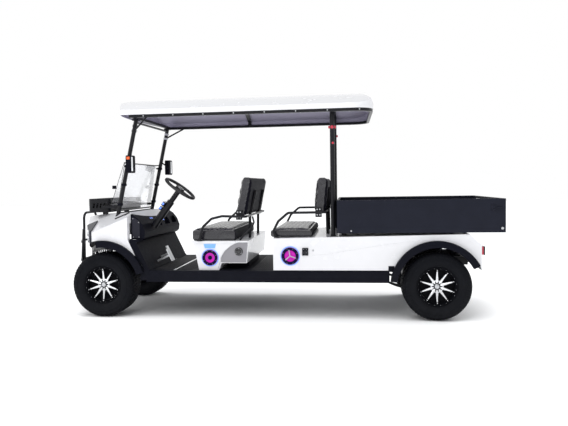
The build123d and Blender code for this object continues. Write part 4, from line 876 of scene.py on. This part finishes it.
# ---------------------------------------------------------------- body trim
# The outline of a grey panel of painted shade in the pod's recess, of (x from the front axle, z).
POD_RECESS_SHADE_OUTLINE = (
    (1.086, 0.496), (1.088, 0.528), (1.102, 0.56), (1.1225, 0.592), (1.147, 0.613), (1.18, 0.639),
    (1.213, 0.658), (1.245, 0.669), (1.256, 0.671), (1.333, 0.671), (1.316, 0.491), (1.096, 0.491),
)
FLARE_BOLT_R = 0.374
ABOVE_Z = 1.3
BESIDE_Y = 0.9


@piece("pod_lip", ["white_panel"], "white_panel")
def pod_lip(bm):
    """The white lip round the top of the front seat pod."""
    near_y, far_y, top_z, depth = 0.5598, 0.569, 0.6836, 0.016
    for side in SIDES:
        rows = [(at(x, side * near_y, top_z), at(x, side * far_y, top_z)) for x in (0.836, 0.95, 1.1, 1.225)]
        add_band(bm, rows, depth, (0, 0, 1))
    add_box(bm, at(0.8275, -far_y, top_z - depth), at(0.8385, far_y, top_z), 0.002)


@paired_piece("pod_inlay", ["pod_shade_grey"], "white_panel")
def pod_inlay(bm, side):
    """Painted shade: a thin grey panel behind the arch on each side of the front seat pod, laid in the recess
    where shade falls.
    """
    face, _ = surface("front_seat_pod", at(1.3, side * BESIDE_Y, 0.52), (0, -side, 0))
    add_plate(bm, POD_RECESS_SHADE_OUTLINE, face.y - side * 0.0004, face.y + side * 0.0014)


@piece("charging_port_cap", ["gloss_black", "zinc"], "black_plastic")
def charging_port_cap(bm):
    """The round cap of the charging port on the near side, with three screws."""
    x, z, screw_circle = 1.252, 0.59, 0.0295
    place, _ = surface("front_seat_pod", at(x + 0.0305, -BESIDE_Y, z), (0, 1, 0))
    centre = at(x, place.y, z)
    add_ring(bm, centre, (0, -1, 0), ((-0.002, 0.0375), (0.0035, 0.0365), (0.005, 0.032), (0.005, 0.027),
                                      (-0.002, 0.025)))
    add_knob(bm, centre + Vector((0, 0.006, 0)), (0, -1, 0), 0.026, 0.0085, 36, True)
    for degrees in (90, 210, 330):
        spot = centre + clock(degrees, screw_circle) + Vector((0, -0.005, 0))
        add_knob(bm, spot, (0, -1, 0), 0.0025, 0.0012, 8, material=1)


@piece("cowl_seals", ["grip_rubber"], "grip_rubber")
def cowl_seals(bm):
    """Rubber seals laid on the cowl: one beside each front post and one along the dash."""
    def laid(x, y, lift):
        return surface("front_cowl", at(x, y, ABOVE_Z), (0, 0, -1))[0] + Vector((0, 0, lift))

    for side in SIDES:
        add_tube(bm, [laid(0.105 + 0.0115 * step, side * 0.54, 0.004) for step in range(13)], 0.0065, 8)
    add_tube(bm, [laid(0.094, -0.442 + 0.0368 * step, 0.003) for step in range(25)], 0.006, 8)


@paired_piece("panel_rivets", ["black_plastic"], "black_plastic")
def panel_rivets(bm, side):
    """Bolts round the front flares and along the sills, gussets at the sills' ends, and mud flaps."""
    sill_y = 0.6048
    for degrees in range(24, 96, 12):
        spot = at(0, side * BESIDE_Y, AXLE_Z) + clock(degrees, FLARE_BOLT_R)
        place, facing = surface("front_flares", spot, (0, -side, 0))
        add_knob(bm, place - facing * 0.0005, facing, 0.0055, 0.0028, 12, True)
    sill_bolts = [(0.52 + 0.38 * index, z) for index in range(6) for z in (0.345, 0.4)]
    add_side_knobs(bm, side, sill_y, sill_bolts, 0.006, 0.003, 12, True)
    add_side_box(bm, side, (2.556, 2.608), (0.603, 0.609), (0.418, 0.47), 0.002)
    add_side_box(bm, side, (0.35, 0.444), (0.588, 0.597), (0.335, 0.432), 0.003)


# ---------------------------------------------------------------- posts, seat frames and dampers
POST_Y = 0.466
REAR_SEAT_SHIFT = (0.704, 0.018)
SPRING_TURNS = 7
SPRING_STEPS = 18
SPRING_R = 0.0345


def post_x(z):
    """Where the raked front posts' middle line lies at a height."""
    return 0.088 + (z - 0.845) * 0.2275


@piece("seat_and_post_bolts", ["black_steel", "zinc"], "black_steel")
def seat_bolts(bm):
    """Bolted plates at the foot of each seat's arm hoops, and the release bar on the near side."""
    for side in SIDES:
        for shift, rise in ((0, 0), REAR_SEAT_SHIFT):
            add_side_box(bm, side, (1.232 + shift, 1.288 + shift), (0.548, 0.556),
                         (0.872 + rise, 0.958 + rise), 0.003)
            spots = [(x + shift, z + rise) for z in (0.94, 0.892) for x in (1.248, 1.272)]
            add_side_knobs(bm, side, 0.5558, spots, 0.007, 0.005, 6, material=1)
    bar = ((1.262, -0.55, 0.69), (1.3, -0.55, 0.735), (1.372, -0.55, 0.8), (1.392, -0.55, 0.85),
           (1.38, -0.556, 0.902))
    add_tube(bm, [at(*point) for point in bar], 0.008, 12)


@paired_piece("windshield_clips", ["black_plastic"], "black_plastic")
def windshield_clips(bm, side):
    """Clips that hold the screen's lower pane and bar on the front posts."""
    x, z, half = 0.07, 1.178, 0.0215
    add_side_box(bm, side, (x - 0.022, x + 0.012), (0.43, 0.452), (z - 0.016, z + 0.016), 0.004)
    add_knob(bm, at(x - 0.005, side * 0.452, z), (0, side, 0), 0.008, 0.006, 12, True)
    for height in (1.02, 1.2, 1.37):
        middle = post_x(height)
        add_side_box(bm, side, (middle - 0.021, middle + 0.021), (POST_Y - half, POST_Y + half),
                     (height - 0.012, height + 0.012), 0.004)


@paired_piece("post_clamps", ["pale_trim", "zinc", "black_steel"], "black_steel")
def post_clamps(bm, side):
    """Two clamps with a bolt round the top of each front post, pale on the far side."""
    for z in (1.69, 1.735):
        add_sleeve(bm, at(post_x(z), side * POST_Y, z), (0.222, 0, 0.975), -0.01, 0.01, 0.0225, 0.0188,
                   28, 0 if side > 0 else 2)
        add_knob(bm, at(post_x(z) + 0.022, side * POST_Y, z), (1, 0, 0), 0.007, 0.006, 6, material=1)


@paired_piece("coil_springs", ["shock_red", "black_steel"], "black_steel")
def coil_springs(bm, side):
    """Red coil springs round the front dampers, between two seats."""
    foot, head = at(0, side * 0.265, 0.318), at(0, side * 0.2265, 0.532)
    along, across, up = square_to(head - foot)
    spokes = round_the_clock(across, up, SPRING_STEPS)
    steps = SPRING_TURNS * SPRING_STEPS
    add_tube(bm, [foot + (head - foot) * (step / steps) + spokes[step % SPRING_STEPS] * SPRING_R
                  for step in range(steps + 1)], 0.0048, 8)
    for spot, way in ((foot, 1), (head, -1)):
        add_sleeve(bm, spot, along * way, -0.006, -0.002, 0.041, 0.0275, 32, 1)


# ---------------------------------------------------------------- bed, steering wheel, roof and rear axle
BED_FACE_Y = 0.6194
BED_FROM_X = 2.15
BED_RIM_Z = (1.013, 1.029)


@piece("bed_fittings", ["bed_panel", "zinc"], "bed_panel", "bed")
def bed_fittings(bm):
    """The bed's floor ribs, rim, rivets, pins and latches, which tip with it."""
    floor, _ = surface("cargo_bed", at(2.8, 0.05, 1.5), (0, 0, -1))
    for index in range(13):
        y = -0.552 + 0.092 * index
        add_box(bm, at(BED_FROM_X, y - 0.014, floor.z - 0.001), at(3.48, y + 0.014, floor.z + 0.0055),
                0.0035)
    for side in SIDES:
        rivets = [(BED_FROM_X + 0.33 * index, 0.772) for index in range(5)]
        add_side_knobs(bm, side, BED_FACE_Y, rivets, 0.0055, 0.003, 12, True)
        add_side_knobs(bm, side, BED_FACE_Y, [(3.488, 0.788)], 0.012, 0.008, 6, material=1)
        add_side_knobs(bm, side, BED_FACE_Y, [(2.244, 0.772)], 0.008, 0.006, 6, material=1)
        add_side_box(bm, side, (3.42, 3.492), (0.619, 0.6265), (0.95, 0.972), 0.003)
        add_side_box(bm, side, (3.4, 3.424), (0.619, 0.6265), (0.935, 0.987), 0.003)
        handle = ((3.482, 0.627, 0.961), (3.452, 0.633, 0.961), (3.428, 0.633, 0.95), (3.412, 0.631, 0.942))
        add_tube(bm, [at(x, side * y, z) for x, y, z in handle], 0.0038, 8)
        add_side_box(bm, side, (2.14, 3.485), (0.5995, 0.6075), BED_RIM_Z, 0.003)
    add_box(bm, at(2.1335, -0.598, BED_RIM_Z[0]), at(2.1435, 0.598, BED_RIM_Z[1]), 0.003)


@piece("tailgate_pressing", ["bed_panel", "zinc"], "bed_panel", "gate")
def tailgate_pressing(bm):
    """Three raised panels and two grab handles inside the tailgate."""
    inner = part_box("tailgate")[0].x
    for from_y, to_y in ((-0.56, -0.2), (-0.18, 0.18), (0.2, 0.56)):
        add_box(bm, (inner - 0.0045, from_y, 0.815), (inner + 0.001, to_y, 0.985), 0.0035)
    for y in (-0.3, 0.3):
        handle = ((0.001, -0.045), (0.016, -0.038), (0.016, 0.038), (0.001, 0.045))
        add_tube(bm, [Vector((inner - out, y + shift, 1.008)) for out, shift in handle], 0.0045, 10, 1)


@piece("steering_wheel_cap", ["gloss_black", "zinc"], "black_plastic", "steering")
def wheel_pad(bm):
    """The steering wheel's centre cap with its ring and three screws."""
    up, sideways = STEERING_UP, Vector((0, 1, 0))
    crown, _ = surface("steering_wheel", STEERING_HUB + up * 0.3, -up)
    add_knob(bm, crown - up * 0.001, up, 0.031, 0.01, 32, True)
    add_ring(bm, crown, up, ((-0.001, 0.0345), (0.0028, 0.034), (0.0036, 0.0315), (-0.001, 0.03)), 48, 1)
    for degrees in (30, 150, 270):
        angle = math.radians(degrees)
        way = sideways * math.cos(angle) + up.cross(sideways) * math.sin(angle)
        add_knob(bm, crown + way * 0.0225 + up * 0.0052, up, 0.0026, 0.002, 8, material=1)


@paired_piece("roof_rail_bolts", ["black_steel", "zinc"], "black_steel")
def roof_bolts(bm, side):
    """Domed bolts along the outside of the roof's rails and hexagon bolts below them."""
    add_side_knobs(bm, side, 0.6038, [(0.42 + 0.272 * index, 1.809) for index in range(8)],
                   0.006, 0.0036, 10, True, 1)
    for index in range(5):
        spot = at(0.56 + 0.42 * index, side * 0.591, 1.7962)
        add_knob(bm, spot, (0, 0, -1), 0.0065, 0.004, material=1)


@paired_piece("axle_u_bolts", ["zinc", "black_steel"], "black_steel")
def axle_bolts(bm, side):
    """U-bolts and a plate that clamp the rear axle on each leaf spring."""
    near_y, far_y, foot_z, bend = 0.2585, 0.3215, 0.21, 0.01
    top_z = AXLE_Z + 0.034
    for step in SIDES:
        x = REAR_AXLE_X + step * 0.04
        line = ((near_y, foot_z), (near_y, top_z - bend), (near_y + bend, top_z + 0.005),
                (far_y - bend, top_z + 0.005), (far_y, top_z - bend), (far_y, foot_z))
        add_tube(bm, [Vector((x, side * y, z)) for y, z in line], 0.0055)
        for y in (near_y, far_y):
            add_knob(bm, Vector((x, side * y, 0.223)), (0, 0, -1), 0.009, 0.009)
    low_y, high_y = sorted((side * 0.25, side * 0.33))
    add_box(bm, (REAR_AXLE_X - 0.055, low_y, 0.2195), (REAR_AXLE_X + 0.055, high_y, 0.2265), 0.002, 1)


# ---------------------------------------------------------------- camera, floor and light
CAMERA_FROM_AXLE = Vector((2.223, -5.642, 1.176))
CAMERA_YAW = -0.127
CAMERA_PITCH = -0.048
CAMERA_ROLL = -0.016
PHOTO_WIDTH = 568
FOCAL_PIXELS = 583.45
CENTRE_PIXEL_X = 274.07
AMBIENT = ((0.95, 0.97, 1.0, 1), 0.62)
SEEN_WHITE = ((1, 1, 1, 1), 1.0)
FLOOR_COLOUR = (0.93, 0.93, 0.93, 1)
FLOOR_REACH = 30
SUN_STRENGTH = 2.2
SUN_SPREAD = math.radians(55)
LAMPS = (
    # name, place, aim, size, power
    ("key", (-1.0, -4.5, 5.0), (0, 0, 0.8), 4.0, 120),
    ("fill", (-6.0, -2.0, 3.0), (-1.0, 0, 0.8), 3.0, 60),
    ("rear", (5.5, 3.0, 4.5), (0.5, 0, 0.8), 3.5, 70),
)


def make_camera():
    """The photograph's camera: yaw towards -X, a little down, a little rolled."""
    forward = Vector((math.sin(CAMERA_YAW) * math.cos(CAMERA_PITCH),
                      math.cos(CAMERA_YAW) * math.cos(CAMERA_PITCH),
                      math.sin(CAMERA_PITCH)))
    level_right = Vector((math.cos(CAMERA_YAW), -math.sin(CAMERA_YAW), 0))
    level_up = level_right.cross(forward)
    right = level_right * math.cos(CAMERA_ROLL) + level_up * math.sin(CAMERA_ROLL)
    up = level_up * math.cos(CAMERA_ROLL) - level_right * math.sin(CAMERA_ROLL)
    data = bpy.data.cameras.new("camera")
    data.sensor_width = 36
    data.lens = data.sensor_width * FOCAL_PIXELS / PHOTO_WIDTH
    data.shift_x = (PHOTO_WIDTH / 2 - CENTRE_PIXEL_X) / PHOTO_WIDTH
    camera = bpy.data.objects.new("camera", data)
    turn = Matrix((right, up, -forward)).transposed()
    camera.matrix_world = Matrix.Translation(at(*CAMERA_FROM_AXLE)) @ turn.to_4x4()
    bpy.context.scene.collection.objects.link(camera)
    bpy.context.scene.camera = camera


def make_world():
    """An even grey light that the camera, gloss and glass see as white."""
    world = bpy.data.worlds.new("studio")
    world.use_nodes = True
    tree = world.node_tree
    tree.nodes.clear()
    grey, white = [new_node(tree, "ShaderNodeBackground", Color=colour, Strength=strength).outputs[0]
                   for colour, strength in (AMBIENT, SEEN_WHITE)]
    rays = new_node(tree, "ShaderNodeLightPath").outputs
    seen = rays["Is Camera Ray"]
    for kind in ("Is Glossy Ray", "Is Transmission Ray"):
        seen = new_node(tree, "ShaderNodeMath", seen, rays[kind], operation="MAXIMUM").outputs[0]
    mixed = new_node(tree, "ShaderNodeMixShader", seen, grey, white).outputs[0]
    new_node(tree, "ShaderNodeOutputWorld", mixed)
    bpy.context.scene.world = world


def make_floor():
    """A pale floor that only darkens where the cart shades it."""
    mesh = bpy.data.meshes.new("floor")
    reach = FLOOR_REACH
    mesh.from_pydata([(-reach, -reach, 0), (reach, -reach, 0), (reach, reach, 0), (-reach, reach, 0)], [],
                     [(0, 1, 2, 3)])
    floor = bpy.data.objects.new("floor", mesh)
    bpy.context.scene.collection.objects.link(floor)
    material = bpy.data.materials.new("floor")
    material.use_nodes = True
    shader = material.node_tree.nodes["Principled BSDF"]
    shader.inputs["Base Color"].default_value = FLOOR_COLOUR
    shader.inputs["Roughness"].default_value = 0.9
    mesh.materials.append(material)
    floor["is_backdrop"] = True
    return floor


def make_lamps():
    """Three soft area lamps: over the near side, at the nose and behind the far rear corner."""
    for name, place, aim, size, power in LAMPS:
        data = bpy.data.lights.new(name, "AREA")
        data.size = size
        data.energy = power
        lamp = bpy.data.objects.new(name, data)
        lamp.location = place
        lamp.rotation_euler = (Vector(aim) - Vector(place)).to_track_quat("-Z", "Y").to_euler()
        bpy.context.scene.collection.objects.link(lamp)


def light_floor(floor):
    """An overhead sun that only the floor receives: white all round, a soft shadow under the cart."""
    data = bpy.data.lights.new("floor_sun", "SUN")
    data.energy = SUN_STRENGTH
    data.angle = SUN_SPREAD
    sun = bpy.data.objects.new("floor_sun", data)
    bpy.context.scene.collection.objects.link(sun)
    receivers = bpy.data.collections.new("floor_only")
    receivers.objects.link(floor)
    sun.light_linking.receiver_collection = receivers


bpy.context.scene.view_settings.view_transform = "Standard"
make_camera()
make_world()
light_floor(make_floor())
make_lamps()

low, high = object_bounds()
